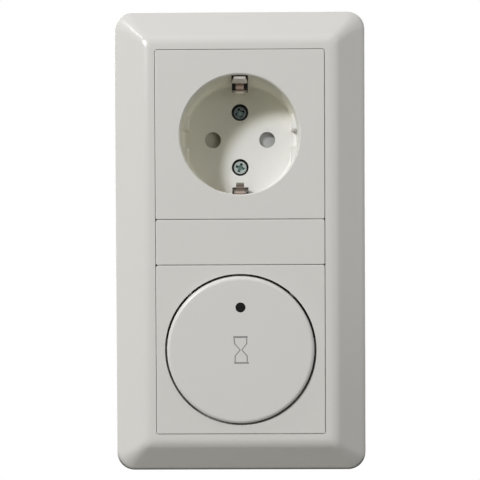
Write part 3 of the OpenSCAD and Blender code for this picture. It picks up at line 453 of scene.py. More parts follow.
@dataclass(frozen=True)
class RecessPlastic(ShadeTintedPlastic):
    """The socket's moulding: paler, duller and aged inside the recess, with dirt in the screw wells."""

    # The front keeps the plate's colour; the paler colour inside the recess is painted light.
    front: Triple = IVORY
    front_gloss: float = IVORY_GLOSS
    # Painted light: the wall's tint is 0.90 times as light at the mouth and 1.15 times at the floor.
    wall: Pair = (0.90, 1.15)
    # Painted shade: a near-black colour down in the screw wells.
    well_shade: Triple = (0.012, 0.012, 0.010)
    recess_r: float = 20.3 * MM
    mouth: Pair = (-11.0 * MM, -10.3 * MM)
    floor: float = 6.5 * MM
    floor_band: float = 0.3 * MM
    well_r: float = 3.05 * MM
    well_offset: float = 9.6 * MM
    well_shade_depths: Pair = (6.55 * MM, 6.9 * MM)

    def within(self, paint: Paint) -> Field:
        """One inside the recess and zero on the plate's front."""
        across, depth, up = paint.place(self.axis).parts()
        return (reach(across, up) < self.recess_r) * paint.span(depth, *self.mouth)

    def shade_tint_colour(self, paint: Paint) -> Feed:
        """Give the colour where the plastic has yellowed: the wall gets lighter towards the floor.

        Args:
            paint: the material's tree.

        Returns:
            The colour.
        """
        _, depth, _ = paint.place(self.axis).parts()
        first, last = (opaque(self.shade_tint, factor) for factor in self.wall)
        # The painted light on the wall, from the mouth to the floor.
        wall = paint.mix(paint.span(depth, self.mouth[0], self.floor), first, last)
        return paint.mix(depth < self.floor - self.floor_band, opaque(self.shade_tint), wall)

    def shade(self, paint: Paint) -> Field:
        """Give the colour over the surface.

        Args:
            paint: the material's tree.

        Returns:
            The colour.
        """
        across, depth, up = paint.place(self.axis).parts()
        well = reach(across, abs(up) - self.well_offset) < self.well_r
        # Painted shade in the screw wells.
        well_shade = well * paint.span(depth, *self.well_shade_depths)
        # Painted light: inside the recess the paler colour takes the front's place.
        outside_wells = paint.mix(self.within(paint), self.clouded(paint, self.front), super().shade(paint))
        return paint.mix(well_shade, outside_wells, opaque(self.well_shade))

    def rough(self, paint: Paint) -> Feed:
        """Give the mean roughness over the surface."""
        return self.within(paint) * (self.gloss - self.front_gloss) + self.front_gloss


@dataclass(frozen=True)
class PlatedMetal(Finish):
    """Sheet or wire with a thin plating: crystal spangle, fine drawing lines and dull clouds."""

    colour: Triple
    tarnish: Triple
    tarnish_share: float = 0.6
    spangle: float = 0.06
    spangle_scale: float = 900.0
    lines: Triple = (300.0, 9000.0, 9000.0)
    line_rough: float = 0.12
    line_depth: float = 2e-6
    gloss: float = 0.3
    dull: float = 0.2
    dull_scale: float = 160.0
    dull_span: Pair = (0.45, 0.7)

    def shade(self, paint: Paint, cloud: Field) -> Field:
        """Give the colour over the surface, by where the plating is dull."""
        body = paint.varied(paint.cells(self.spangle_scale), self.colour, self.spangle)
        return paint.mix(cloud * self.tarnish_share, body, opaque(self.tarnish))

    def feeds(self, paint: Paint) -> Sockets:
        """Give what the shader's sockets get.

        Args:
            paint: the material's tree.

        Returns:
            Values and links by socket.
        """
        lines = paint.noise(1.0, place=paint.place(stretch=self.lines))
        cloud = paint.span(paint.noise(self.dull_scale, paint.rich), *self.dull_span)
        return {
            "Base Color": self.shade(paint, cloud),
            "Metallic": 1.0,
            "Roughness": lines * self.line_rough + cloud * self.dull + (self.gloss - self.line_rough / 2),
            "Normal": paint.bump(lines, self.line_depth),
        }


@dataclass(frozen=True)
class StainedScrew(PlatedMetal):
    """The cover screws' plating: a green stain in the cross, and dull all over on the upper screw."""

    stain: Triple = (0.11, 0.17, 0.15)
    # Painted shade: the upper screw, which lies in the recess's shadow, is made near black.
    upper_shade: Triple = (0.040, 0.047, 0.043)
    upper_shade_share: Pair = (0.93, 0.05)
    stain_loss: float = 0.6
    axis: Triple = (0.0, 7.7 * MM, GANG_HEIGHT)
    offset: float = 9.6 * MM
    cross_r: float = 2.2 * MM
    cross_band: Pair = (0.2 * MM, 0.4 * MM)

    def shade(self, paint: Paint, cloud: Field) -> Field:
        """Give the colour over the surface.

        Args:
            paint: the material's tree.
            cloud: where the plating is dull.

        Returns:
            The colour.
        """
        across, depth, up = paint.place(self.axis).parts()
        cross = reach(across, abs(up) - self.offset) < self.cross_r
        stain = cross * paint.span(depth, *self.cross_band)
        share, drift = self.upper_shade_share
        # The painted shade covers the upper screw.
        upper = (up > 0.0) * (cloud * drift + share)
        plated = paint.mix(upper, super().shade(paint, cloud), opaque(self.upper_shade))
        return paint.mix(stain * (1.0 - upper * self.stain_loss), plated, opaque(self.stain))


@dataclass(frozen=True)
class ShadeBandedStrip(PlatedMetal):
    """The earth strip: bands of bright tin and brown tarnish along the fingers, as a plug rubs them."""

    axis: Triple = (0.0, 0.0, GANG_HEIGHT)
    depths: Pair = (-9.2 * MM, 0.8 * MM)
    ragged: float = 0.5 * MM
    ragged_scale: float = 900.0
    film: float = 0.2
    tongue_half: float = 1.45 * MM
    # Painted shade: near black in the pockets beside the lower finger.
    pocket_shade: Triple = (0.03, 0.02, 0.016)
    pocket_shade_span: Pair = (0.05, 0.42)
    # The bands along each finger: the light stops are painted highlights, the dark ones painted shade.
    upper: Stops = (
        (0.0, (0.93, 0.89, 0.86)), (0.43, (0.93, 0.88, 0.84)),
        (0.46, (0.16, 0.10, 0.075)), (0.56, (0.22, 0.15, 0.12)),
        (0.62, (0.48, 0.39, 0.33)), (0.70, (0.44, 0.35, 0.29)),
        (0.75, (0.17, 0.11, 0.085)), (0.80, (0.22, 0.15, 0.12)),
        (0.86, (0.78, 0.72, 0.66)), (1.0, (0.62, 0.56, 0.50)),
    )
    lower: Stops = (
        (0.0, (0.46, 0.37, 0.32)), (0.42, (0.40, 0.31, 0.26)),
        (0.47, (0.15, 0.10, 0.08)), (0.56, (0.36, 0.29, 0.25)),
        (0.66, (0.42, 0.35, 0.30)), (0.73, (0.16, 0.11, 0.09)),
        (0.82, (0.50, 0.46, 0.41)), (1.0, (0.46, 0.42, 0.37)),
    )

    def shade(self, paint: Paint, cloud: Field) -> Field:
        """Give the colour over the surface.

        Args:
            paint: the material's tree.
            cloud: where the plating is dull.

        Returns:
            The colour.
        """
        across, depth, up = paint.place(self.axis).parts()
        low, high = self.depths
        along = (depth + paint.stray(self.ragged_scale, self.ragged) - low) / (high - low)
        # The painted highlight and shade bands.
        banded = paint.mix(up > 0.0, paint.ramp(along, self.lower), paint.ramp(along, self.upper))
        aside = (up < 0.0) * (abs(across) > self.tongue_half)
        start, end = self.pocket_shade_span
        # The painted shade in the pockets.
        hidden = aside * paint.span(along, 0.0, start) * (along < end)
        filmed = paint.mix(cloud * self.film, banded, opaque(self.tarnish))
        return paint.mix(hidden, filmed, opaque(self.pocket_shade))


@dataclass(frozen=True)
class BoardLaminate(Finish):
    """Circuit board: solder mask over copper tracks, on woven glass laminate."""

    mask: Triple
    track: Triple
    pitch: float = 5.2 * MM
    bend: float = 7.28 * MM
    bend_scale: float = 90.0
    field_scale: float = 55.0
    upright: Pair = (0.13, 0.17)
    level: Pair = (0.07, 0.10)
    weave_scale: float = 4500.0
    weave: float = 0.1
    weave_rough: float = 0.04
    gloss: float = 0.42
    copper_gloss: float = 0.1
    copper_depth: float = 3.5e-5
    lacquer: float = 0.3

    def feeds(self, paint: Paint) -> Sockets:
        """Give what the shader's sockets get.

        Args:
            paint: the material's tree.

        Returns:
            Values and links by socket.
        """
        across, _, along = paint.place().parts()
        bend = paint.stray(self.bend_scale, self.bend, 0.0)
        first = paint.span((across + bend).zigzag(self.pitch / 2) / self.pitch, *self.upright, 1.0, 0.0)
        second = paint.span((along - bend).zigzag(self.pitch) / self.pitch, *self.level, 1.0, 0.0)
        field = paint.noise(self.field_scale, 0.0) > 0.5
        copper = first * field + second * (1.0 - field)
        weave = (across * self.weave_scale).sine() * (along * self.weave_scale).sine()
        tint = paint.varied(weave * 0.5 + 0.5, self.mask, self.weave)
        return {
            "Base Color": paint.mix(copper, tint, opaque(self.track)),
            "Roughness": self.gloss - copper * self.copper_gloss + weave * self.weave_rough,
            "Normal": paint.bump(copper, self.copper_depth),
            "Coat Weight": self.lacquer,
        }


@dataclass(frozen=True)
class TintedResin(Finish):
    """Clear resin with a deep tint: glossy, with faint streaks inside."""

    colour: Triple
    other: Triple
    gloss: float = 0.12
    gloss_drift: float = 0.08
    coat: float = 0.6
    specular: float = 0.5
    scale: float = 700.0
    stretch: Triple = (1.0, 0.25, 1.0)

    def pattern(self, paint: Paint) -> Field:
        """Give the share of the other colour."""
        return paint.noise(self.scale, paint.rich, paint.place(stretch=self.stretch))

    def feeds(self, paint: Paint) -> Sockets:
        """Give what the shader's sockets get.

        Args:
            paint: the material's tree.

        Returns:
            Values and links by socket.
        """
        pattern = self.pattern(paint)
        return {
            "Base Color": paint.mix(pattern, opaque(self.colour), opaque(self.other)),
            "Roughness": pattern * self.gloss_drift + self.gloss,
            "Coat Weight": self.coat,
            "Specular IOR Level": self.specular,
        }


@dataclass(frozen=True)
class SignInk(TintedResin):
    """Pad-printed ink with patches of thinner cover."""

    gloss: float = 0.45
    gloss_drift: float = 0.1
    coat: float = 0.0
    scale: float = 2600.0
    patch: Pair = (0.35, 0.75)

    def pattern(self, paint: Paint) -> Field:
        """Give the share of thinner cover."""
        return paint.span(paint.noise(self.scale), *self.patch)


@dataclass(frozen=True)
class SleevedCan(Finish):
    """Shrink sleeve on a capacitor's can, with the pale stripe down one side."""

    colour: Triple
    stripe: Triple
    centre: Triple
    stripe_half: float = 1.6 * MM
    cloud: float = 0.15
    cloud_scale: float = 300.0
    gloss: float = 0.25
    grain_scale: float = 1500.0
    grain_depth: float = 8e-6

    def feeds(self, paint: Paint) -> Sockets:
        """Give what the shader's sockets get.

        Args:
            paint: the material's tree.

        Returns:
            Values and links by socket.
        """
        across, _, along = paint.place(self.centre).parts()
        stripe = (abs(along) < self.stripe_half) * (across > 0.0)
        cloud = paint.noise(self.cloud_scale, paint.rich)
        sleeve = paint.varied(cloud, self.colour, self.cloud)
        return {
            "Base Color": paint.mix(stripe, sleeve, opaque(self.stripe)),
            "Roughness": cloud * self.cloud + self.gloss,
            "Normal": paint.bump(paint.noise(self.grain_scale), self.grain_depth),
        }


def middle(node: str) -> Triple:
    """The middle of a packed node's box."""
    low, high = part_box(node)
    return ((low[0] + high[0]) / 2, (low[1] + high[1]) / 2, (low[2] + high[2]) / 2)


FINISHES: Dict[str, Finish] = {
    "ivory_plastic": MouldedPlastic(IVORY, gloss=IVORY_GLOSS, gloss_drift=0.02),
    "button_plastic": MouldedPlastic((0.742, 0.719, 0.701), cloud=0.004, gloss=0.33, gloss_drift=0.012),
    "dark_plastic": MouldedPlastic((0.045, 0.046, 0.05), cloud=0.12, gloss=0.42, grain_depth=9e-6),
    # The shutter gets painted shade: darker and yellower where the key light does not reach.
    "shutter_plastic": ShadeTintedPlastic((0.55, 0.555, 0.55), cloud=0.03, gloss=0.42, shade_tint=(0.46, 0.445, 0.34)),
    "grey_plastic": MouldedPlastic((0.42, 0.42, 0.41), cloud=0.04, gloss=0.4, grain_depth=6e-6),
    "switch_plastic": MouldedPlastic((0.03, 0.03, 0.032), cloud=0.1, gloss=0.38),
    "plunger_plastic": MouldedPlastic((0.72, 0.71, 0.68), cloud=0.03, gloss=0.4),
    "lever_brown": MouldedPlastic((0.16, 0.075, 0.035), cloud=0.07, gloss=0.36),
    "lever_blue": MouldedPlastic((0.02, 0.10, 0.42), cloud=0.07, gloss=0.36),
    "lever_green": MouldedPlastic((0.28, 0.42, 0.02), cloud=0.07, gloss=0.36),
    "relay_case": MouldedPlastic((0.02, 0.11, 0.36), cloud=0.05, gloss=0.3),
    "film_case": MouldedPlastic((0.55, 0.36, 0.03), cloud=0.05, gloss=0.33),
    "chip_resin": MouldedPlastic((0.025, 0.025, 0.027), cloud=0.15, gloss=0.55, grain_depth=1.5e-5),
    "varistor_coat": MouldedPlastic((0.02, 0.13, 0.30), cloud=0.08, gloss=0.28, grain_depth=2e-5),
    "lens_dark": TintedResin((0.006, 0.006, 0.006), (0.012, 0.011, 0.010), gloss=0.3, coat=0.0, specular=0.1),
    "led_resin": TintedResin((0.55, 0.06, 0.04), (0.72, 0.12, 0.08), gloss=0.15),
    "board_laminate": BoardLaminate((0.03, 0.14, 0.055), (0.06, 0.22, 0.08)),
    "can_sleeve": SleevedCan((0.015, 0.016, 0.02), (0.55, 0.56, 0.57), middle("electrolytic_capacitor")),
    "zinc_steel": PlatedMetal((0.56, 0.56, 0.545), (0.44, 0.45, 0.40), gloss=0.3),
    "ring_steel": PlatedMetal((0.60, 0.61, 0.62), (0.48, 0.49, 0.48), spangle=0.14, spangle_scale=260.0),
    "spring_steel": PlatedMetal((0.55, 0.54, 0.52), (0.36, 0.34, 0.31), gloss=0.26),
    # The earth strip has painted highlights and painted shade in bands, and painted shade in its pockets.
    "earth_bronze": ShadeBandedStrip((0.66, 0.58, 0.47), (0.42, 0.33, 0.24), gloss=0.42, dull=0.1),
    "contact_brass": PlatedMetal((0.80, 0.60, 0.30), (0.50, 0.33, 0.15), gloss=0.26),
    # The cover frame has painted shade along its lower edge and its side away from the light.
    "cover_frame": FootShadePlastic(IVORY, gloss=IVORY_GLOSS, gloss_drift=0.02),
    # Its colour is painted light: paler than the front, for the brighter recess floor.
    "socket_cover": RecessPlastic((0.785, 0.777, 0.752), gloss=0.45, gloss_drift=0.02),
    "socket_cover_screws": StainedScrew((0.34, 0.38, 0.355), (0.26, 0.30, 0.27), gloss=0.26, dull=0.12),
    "hourglass_sign": SignInk((0.24, 0.24, 0.24), (0.32, 0.32, 0.315)),
}


class Wardrobe:
    """The finishes by piece or by material slot, each made once."""

    def __init__(self) -> None:
        """Start with nothing made."""
        self.made: Dict[str, Material] = {}
        self.slots = {row["node"]: row["material_slot"] for row in frame["record"]["subparts"]}

    def material(self, piece: str) -> Material:
        """Give a piece's own material, or else its slot's.

        Args:
            piece: the piece's or the packed node's name.

        Returns:
            The material.
        """
        name = piece if piece in FINISHES else self.slots[piece]
        if name not in self.made:
            self.made[name] = FINISHES[name].material(f"{name}_finish")
        return self.made[name]


# Shapes by rule


@dataclass(frozen=True)
class Seat:
    """Where a repeated shape sits, in metres, and how it is turned, in degrees about x, then y, then z."""

    place: Triple
    turn: Triple


class ShapeTree(Graph):
    """A Geometry Nodes tree with named sizes, whose result becomes a plain mesh."""

    def __init__(self, name: str) -> None:
        """Start a tree with one geometry input and output.

        Args:
            name: the tree's name.
        """
        super().__init__(bpy.data.node_groups.new(name, "GeometryNodeTree"))
        for way in ("INPUT", "OUTPUT"):
            self.tree.interface.new_socket("Geometry", in_out=way, socket_type="NodeSocketGeometry")
        self.entry = self.node("NodeGroupInput")
        self.values: Dict[str, float] = {}

    def size(self, name: str, value: float) -> Field:
        """Add a named size.

        Args:
            name: the input's name.
            value: what this piece sets it to.

        Returns:
            The input, for arithmetic and links.
        """
        socket = self.tree.interface.new_socket(name, in_out="INPUT", socket_type="NodeSocketFloat")
        self.values[socket.identifier] = value
        return self.entry[name]

    def spots(self) -> Tuple[Field, Field, Field]:
        """The three coordinates of every point."""
        return self.node("GeometryNodeInputPosition").parts()

    def moved(self, shape: Field, place: Field) -> Field:
        """Put every point of a shape at a new place."""
        return self.node("GeometryNodeSetPosition", {"Geometry": shape, "Position": place})

    def curve(self, lines: Field) -> Field:
        """Turn lines into curves."""
        return self.node("GeometryNodeMeshToCurve", {"Mesh": lines})

    def path(self, count: int) -> Tuple[Field, Field]:
        """A path of some points that is to be bent, and how far along it each lies, 0 to 1."""
        path = self.curve(self.node("GeometryNodeMeshLine", {"Count": count}))
        return path, self.node("GeometryNodeSplineParameter")["Factor"]

    def swept(self, path: Field, ring: Field, scale: Feed = 1.0) -> Field:
        """Sweep a closed outline along a path, with closed ends."""
        feeds = {"Curve": path, "Profile Curve": ring, "Scale": scale, "Fill Caps": True}
        return self.node("GeometryNodeCurveToMesh", feeds)

    def ring(self, sides: int, radius: Feed) -> Field:
        """A round outline."""
        return self.node("GeometryNodeCurvePrimitiveCircle", {"Resolution": sides, "Radius": radius})

    def welded(self, shape: Field, gap: float) -> Field:
        """Close seams and poles."""
        return self.node("GeometryNodeMergeByDistance", {"Geometry": shape, "Distance": gap})

    def attribute(self, name: str, kind: str) -> Field:
        """Read what the points carry under a name."""
        return self.node("GeometryNodeInputNamedAttribute", {"Name": name}, data_type=kind)

    def shaded(self, shape: Field, angle: float) -> Field:
        """Shade smoothly, but keep edges that are sharper than an angle.

        Args:
            shape: the mesh.
            angle: in degrees.

        Returns:
            The shaded mesh.
        """
        soft = self.node("GeometryNodeSetShadeSmooth", {0: shape, "Shade Smooth": True}, domain="FACE")
        bend = self.node("GeometryNodeInputMeshEdgeAngle")["Unsigned Angle"]
        feeds = {0: soft, "Selection": bend > math.radians(angle), "Shade Smooth": False}
        return self.node("GeometryNodeSetShadeSmooth", feeds, domain="EDGE")

    def at_seats(self, shape: Field) -> Field:
        """Set a shape on every point of the seats, turned as each asks.

        Args:
            shape: the mesh.

        Returns:
            The instances.
        """
        aim = self.node("FunctionNodeEulerToRotation", {0: self.attribute("turn", "FLOAT_VECTOR")})
        feeds = {"Points": self.entry["Geometry"], "Instance": shape, "Rotation": aim}
        return self.node("GeometryNodeInstanceOnPoints", feeds)

    def piece(self, name: str, base: Mesh, shape: Field, material: Material) -> Object:
        """End the tree and turn its result into a plain mesh.

        Args:
            name: the piece's name.
            base: the points or lines that the tree starts from.
            shape: the tree's result.
            material: the finish.

        Returns:
            The piece, at the origin and without modifiers.
        """
        real = self.node("GeometryNodeRealizeInstances", {0: shape})
        dressed = self.node("GeometryNodeSetMaterial", {"Geometry": real, "Material": material})
        self.node("NodeGroupOutput", {0: dressed})
        piece = placed(name, base)
        modifier = piece.modifiers.new(name, "NODES")
        modifier.node_group = self.tree
        for identifier, value in self.values.items():
            modifier[identifier] = value
        graph = bpy.context.evaluated_depsgraph_get()
        mesh = bpy.data.meshes.new_from_object(piece.evaluated_get(graph), depsgraph=graph)
        piece.modifiers.clear()
        piece.data = mesh
        mesh.name = name
        mesh.materials.clear()
        mesh.materials.append(material)
        bpy.data.meshes.remove(base)
        LOG.info("%s: %d faces", name, len(mesh.polygons))
        return piece


def seat_mesh(seats: Sequence[Seat]) -> Mesh:
    """Make the points that a repeated shape sits on.

    Args:
        seats: places and turns.

    Returns:
        A mesh of points that carry their turn.
    """
    mesh = bpy.data.meshes.new("seats")
    mesh.from_pydata([seat.place for seat in seats], [], [])
    turns = mesh.attributes.new("turn", "FLOAT_VECTOR", "POINT")
    for value, seat in zip(turns.data, seats):
        value.vector = [math.radians(angle) for angle in seat.turn]
    return mesh


class Drive(Enum):
    """What a screw's head has for the driver."""

    CROSS = "cross"
    SLOT = "slot"


class Pole(Enum):
    """The socket's three wire terminals, by the joint that frees them."""

    LINE = "line"
    NEUTRAL = "neutral"
    EARTH = "earth"


class Side(Enum):
    """Which way a piece faces: out of the wall or into it."""

    FRONT = 1
    BACK = -1

    def turned(self, angle: float) -> Triple:
        """Turn for a shape that points along +z, with its own turn about that axis in degrees."""
        return (90.0 * self.value, -angle * self.value, 0.0)


class SeatedShape:
    """A shape by rule that is repeated on seats; each kind draws its own form."""

    crease: float

    def form(self, tree: ShapeTree) -> Field:
        """Draw the shape once, with its axis along +z and its seat at zero."""
        raise NotImplementedError

    def build(self, name: str, seats: Sequence[Seat], material: Material) -> Object:
        """Make one piece of all the repeats.

        Args:
            name: the piece's name.
            seats: where they sit.
            material: the finish.

        Returns:
            The piece.
        """
        tree = ShapeTree(name)
        shape = tree.at_seats(tree.shaded(self.form(tree), self.crease))
        return tree.piece(name, seat_mesh(seats), shape, material)


@dataclass(frozen=True)
class Screw(SeatedShape):
    """A screw by rule: domed head with its drive, and a thread down to a flat end.

    Wing and tick are the long and short bars of a cross: length and width over the head's, and taper.
    """

    head_d: float
    head_h: float
    shank_d: float
    length: float
    drive: Drive = Drive.CROSS
    pitch: float = 1.0 * MM
    thread: float = 0.32 * MM
    squareness: float = 0.62
    columns: int = 40
    dome_rows: int = 12
    rows_per_turn: int = 6
    drive_depth: float = 0.62
    wing: Triple = (0.72, 0.2, 0.55)
    tick: Triple = (0.50, 0.06, 0.7)
    tick_depth: float = 0.25
    slot: float = 0.8 * MM
    slot_length: float = 1.2
    overcut: float = 0.5 * MM
    weld: float = 1e-6
    crease: float = 32.0

    def turned_form(self, tree: ShapeTree) -> Field:
        """Draw the outside on a grid: along its rows from the crown to the end, round its columns.

        Args:
            tree: where the nodes go.

        Returns:
            The closed form.
        """
        head_r = tree.size("Head diameter", self.head_d) / 2
        head_h = tree.size("Head height", self.head_h)
        shank_r = tree.size("Shank diameter", self.shank_d) / 2
        length = tree.size("Length", self.length)
        pitch = tree.size("Pitch", self.pitch)
        thread_rows = round(self.length / self.pitch * self.rows_per_turn)
        last_dome = self.dome_rows
        first_shank = last_dome + 1
        last_shank = first_shank + thread_rows
        rows = last_shank + 2
        grid = tree.node("GeometryNodeMeshGrid", {
            "Size X": 1.0, "Size Y": 1.0, "Vertices X": rows, "Vertices Y": self.columns + 1})["Mesh"]
        across, round_it, _ = tree.spots()
        row = (across + 0.5) * (rows - 1.0)
        angle = (round_it + 0.5) * FULL_TURN
        bow = (row / last_dome).least(1.0) * QUARTER_TURN
        dome_r = head_r * bow.sine().most(0.0) ** self.squareness
        dome_z = head_h * bow.cosine().most(0.0) ** self.squareness
        down = ((row - first_shank) / thread_rows).most(0.0).least(1.0)
        wave = (down * length / pitch * 2.0 - angle / math.pi).zigzag(1.0)
        shank = shank_r - wave * self.thread
        on_shank = row > last_dome + 0.5
        at_end = row > last_shank + 0.5
        radius = (dome_r * (1.0 - on_shank) + shank * on_shank) * (1.0 - at_end)
        spot = tree.vector(radius * angle.cosine(), radius * angle.sine(), dome_z - down * length)
        return tree.welded(tree.moved(grid, spot), self.weld)

    def bar(self, tree: ShapeTree, size: Triple, turn: float, taper: float) -> Field:
        """Make a tapered bar that cuts into the crown.

        Args:
            tree: where the nodes go.
            size: length, width and depth, in metres.
            turn: about the axis, in degrees.
            taper: how much of length and width is left at the bottom.

        Returns:
            The bar.
        """
        length, width, depth = size
        bar = tree.node("GeometryNodeMeshCube", {"Size": (length, width, depth + self.overcut)})["Mesh"]
        x, y, z = tree.spots()
        keep = 1.0 - (z < 0.0) * (1.0 - taper)
        lift = self.head_h - depth / 2 + self.overcut / 2
        bar = tree.moved(bar, tree.vector(x * keep, y * keep, z + lift))
        turned = {"Geometry": bar, "Rotation": (0.0, 0.0, math.radians(turn))}
        return tree.node("GeometryNodeTransform", turned)

    def bars(self, tree: ShapeTree) -> List[Field]:
        """Make the bars that cut the drive.

        Args:
            tree: where the nodes go.

        Returns:
            The bars.
        """
        if self.drive is Drive.SLOT:
            return [self.bar(tree, (self.slot_length * self.head_d, self.slot, self.slot), 0.0, 1.0)]
        deep = self.drive_depth * self.head_h
        kinds = ((self.wing, deep, (0.0, 90.0)), (self.tick, self.tick_depth * deep, (45.0, 135.0)))
        return [self.bar(tree, (length * self.head_d, width * self.head_d, depth), turn, taper)
                for (length, width, taper), depth, turns in kinds for turn in turns]

    def form(self, tree: ShapeTree) -> Field:
        """Cut the drive into the turned form.

        Args:
            tree: where the nodes go.

        Returns:
            The screw, with its axis along +z and its seat at zero.
        """
        cut = self.turned_form(tree)
        for bar in self.bars(tree):
            feeds = {"Mesh 1": cut, "Mesh 2": bar}
            cut = tree.node("GeometryNodeMeshBoolean", feeds, operation="DIFFERENCE", solver="EXACT")["Mesh"]
        return cut


@dataclass(frozen=True)
class CoilSpring(SeatedShape):
    """A compression spring by rule: a round wire on a helix whose end coils lie flat."""

    coil_d: float
    wire_d: float
    length: float
    coils: float
    steps_per_coil: int = 36
    wire_sides: int = 12
    crease: float = 50.0

    def form(self, tree: ShapeTree) -> Field:
        """Wind the wire.

        Args:
            tree: where the nodes go.

        Returns:
            The spring, with its lower end at zero.
        """
        radius = tree.size("Coil diameter", self.coil_d) / 2
        wire = tree.size("Wire diameter", self.wire_d)
        length = tree.size("Length", self.length)
        coils = tree.size("Coils", self.coils)
        path, along = tree.path(round(self.coils * self.steps_per_coil) + 1)
        turn = along * coils * FULL_TURN
        rise = along * along * (3.0 - 2.0 * along)
        spot = tree.vector(radius * turn.cosine(), radius * turn.sine(), wire / 2 + (length - wire) * rise)
        return tree.swept(tree.moved(path, spot), tree.ring(self.wire_sides, wire / 2))


@dataclass(frozen=True)
class ClampLeaf(SeatedShape):
    """A wire clamp's leaf spring by rule: along the contact bar, round two bends and back up to its tip."""

    width: float = 3.0 * MM
    thick: float = 0.4 * MM
    start: float = -1.7 * MM
    wing: float = 2.51 * MM
    depth: float = 3.76 * MM
    bend: float = 0.4 * MM
    bend_steps: int = 6
    crease: float = 40.0

    def form(self, tree: ShapeTree) -> Field:
        """Bend the strip.

        Args:
            tree: where the nodes go.

        Returns:
            The leaf, lying on the bar.
        """
        width = tree.size("Width", self.width)
        thick = tree.size("Thickness", self.thick)
        depth = tree.size("Depth", self.depth)
        bend = tree.size("Bend", self.bend)
        legs = 3
        path, along = tree.path(legs + 1)
        flat, out, back = ((along * legs - leg).most(0.0).least(1.0) for leg in range(legs))
        across = flat * (self.wing - self.start) - back * (thick + self.wing) + self.start
        deep = thick / 2 + out * (depth - thick / 2) - back * depth / 2
        path = tree.moved(path, tree.vector(across, 0.0, deep))
        feeds = {"Curve": path, "Radius": bend, "Count": self.bend_steps, "Limit Radius": True}
        path = tree.node("GeometryNodeFilletCurve", feeds, mode="POLY")
        feeds = {"Curve": path, "Normal": (0.0, 1.0, 0.0)}
        path = tree.node("GeometryNodeSetCurveNormal", feeds, mode="FREE")
        sheet = {"Width": width, "Height": thick}
        ring = tree.node("GeometryNodeCurvePrimitiveQuadrilateral", sheet, mode="RECTANGLE")
        return tree.swept(path, ring)


@dataclass(frozen=True)
class Stroke:
    """One line of a printed sign, in millimetres about the sign's middle."""

    points: Tuple[Pair, ...]
    width: float


@dataclass(frozen=True)
class PrintedSign:
    """A sign printed on a flat face: flat ribbons along its strokes."""

    strokes: Tuple[Stroke, ...]
    centre: Triple
    ink: float = 0.02 * MM
    ribbon_sides: int = 16
    weld: float = 1e-7
    crease: float = 40.0

    def lines(self) -> Mesh:
        """Lay out the strokes.

        Returns:
            A mesh of lines that carry their half width.
        """
        points: List[Triple] = []
        edges: List[Tuple[int, int]] = []
        widths: List[float] = []
        for stroke in self.strokes:
            first = len(points)
            points += [(x * MM, y * MM, 0.0) for x, y in stroke.points]
            widths += [stroke.width * MM / 2] * len(stroke.points)
            edges += [(i, i + 1) for i in range(first, len(points) - 1)]
        mesh = bpy.data.meshes.new("strokes")
        mesh.from_pydata(points, edges, [])
        mesh.attributes.new("half_width", "FLOAT", "POINT").data.foreach_set("value", widths)
        return mesh

    def build(self, name: str, material: Material) -> Object:
        """Make the sign as one piece.

        Args:
            name: the piece's name.
            material: the ink.

        Returns:
            The piece.
        """
        tree = ShapeTree(name)
        ink = tree.size("Ink", self.ink)
        path = tree.curve(tree.entry["Geometry"])
        ribbon = tree.swept(path, tree.ring(self.ribbon_sides, 1.0), tree.attribute("half_width", "FLOAT"))
        x, y, z = tree.spots()
        flat = tree.moved(ribbon, tree.vector(x, y, z.most(ink * -1.0).least(ink)))
        feeds = {"Geometry": tree.welded(flat, self.weld), "Translation": self.centre,
                 "Rotation": (QUARTER_TURN, 0.0, 0.0)}
        shape = tree.node("GeometryNodeTransform", feeds)
        return tree.piece(name, self.lines(), tree.shaded(shape, self.crease), material)


# Sub-assemblies


@dataclass
class Assembly:
    """What the sub-assemblies share: dressing packed nodes and placing new pieces."""

    wardrobe: Wardrobe

    def dress(self, nodes: Sequence[str]) -> None:
        """Give packed nodes their finish.

        Args:
            nodes: the nodes' names.
        """
        for name in nodes:
            for place in frame["nodes"][name].material_slots:
                place.material = self.wardrobe.material(name)
            LOG.info("%s: dressed", name)

    def stand_in(self, piece: Object, node: str) -> None:
        """Let a new piece stand for a packed node of the fixed body.

        Args:
            piece: the new piece.
            node: the node's name.
        """
        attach(piece, "switch_body")
        self.wardrobe.slots[node]
        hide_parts(node)

    def repeat(self, shape: SeatedShape, name: str, seats: Sequence[Seat], node: str) -> Object:
        """Make a piece of repeated shapes that stands for a packed node.

        Args:
            shape: what is repeated.
            name: the piece's name.
            seats: where the repeats sit.
            node: the node's name.

        Returns:
            The piece.
        """
        piece = shape.build(name, seats, self.wardrobe.material(node))
        self.stand_in(piece, node)
        return piece


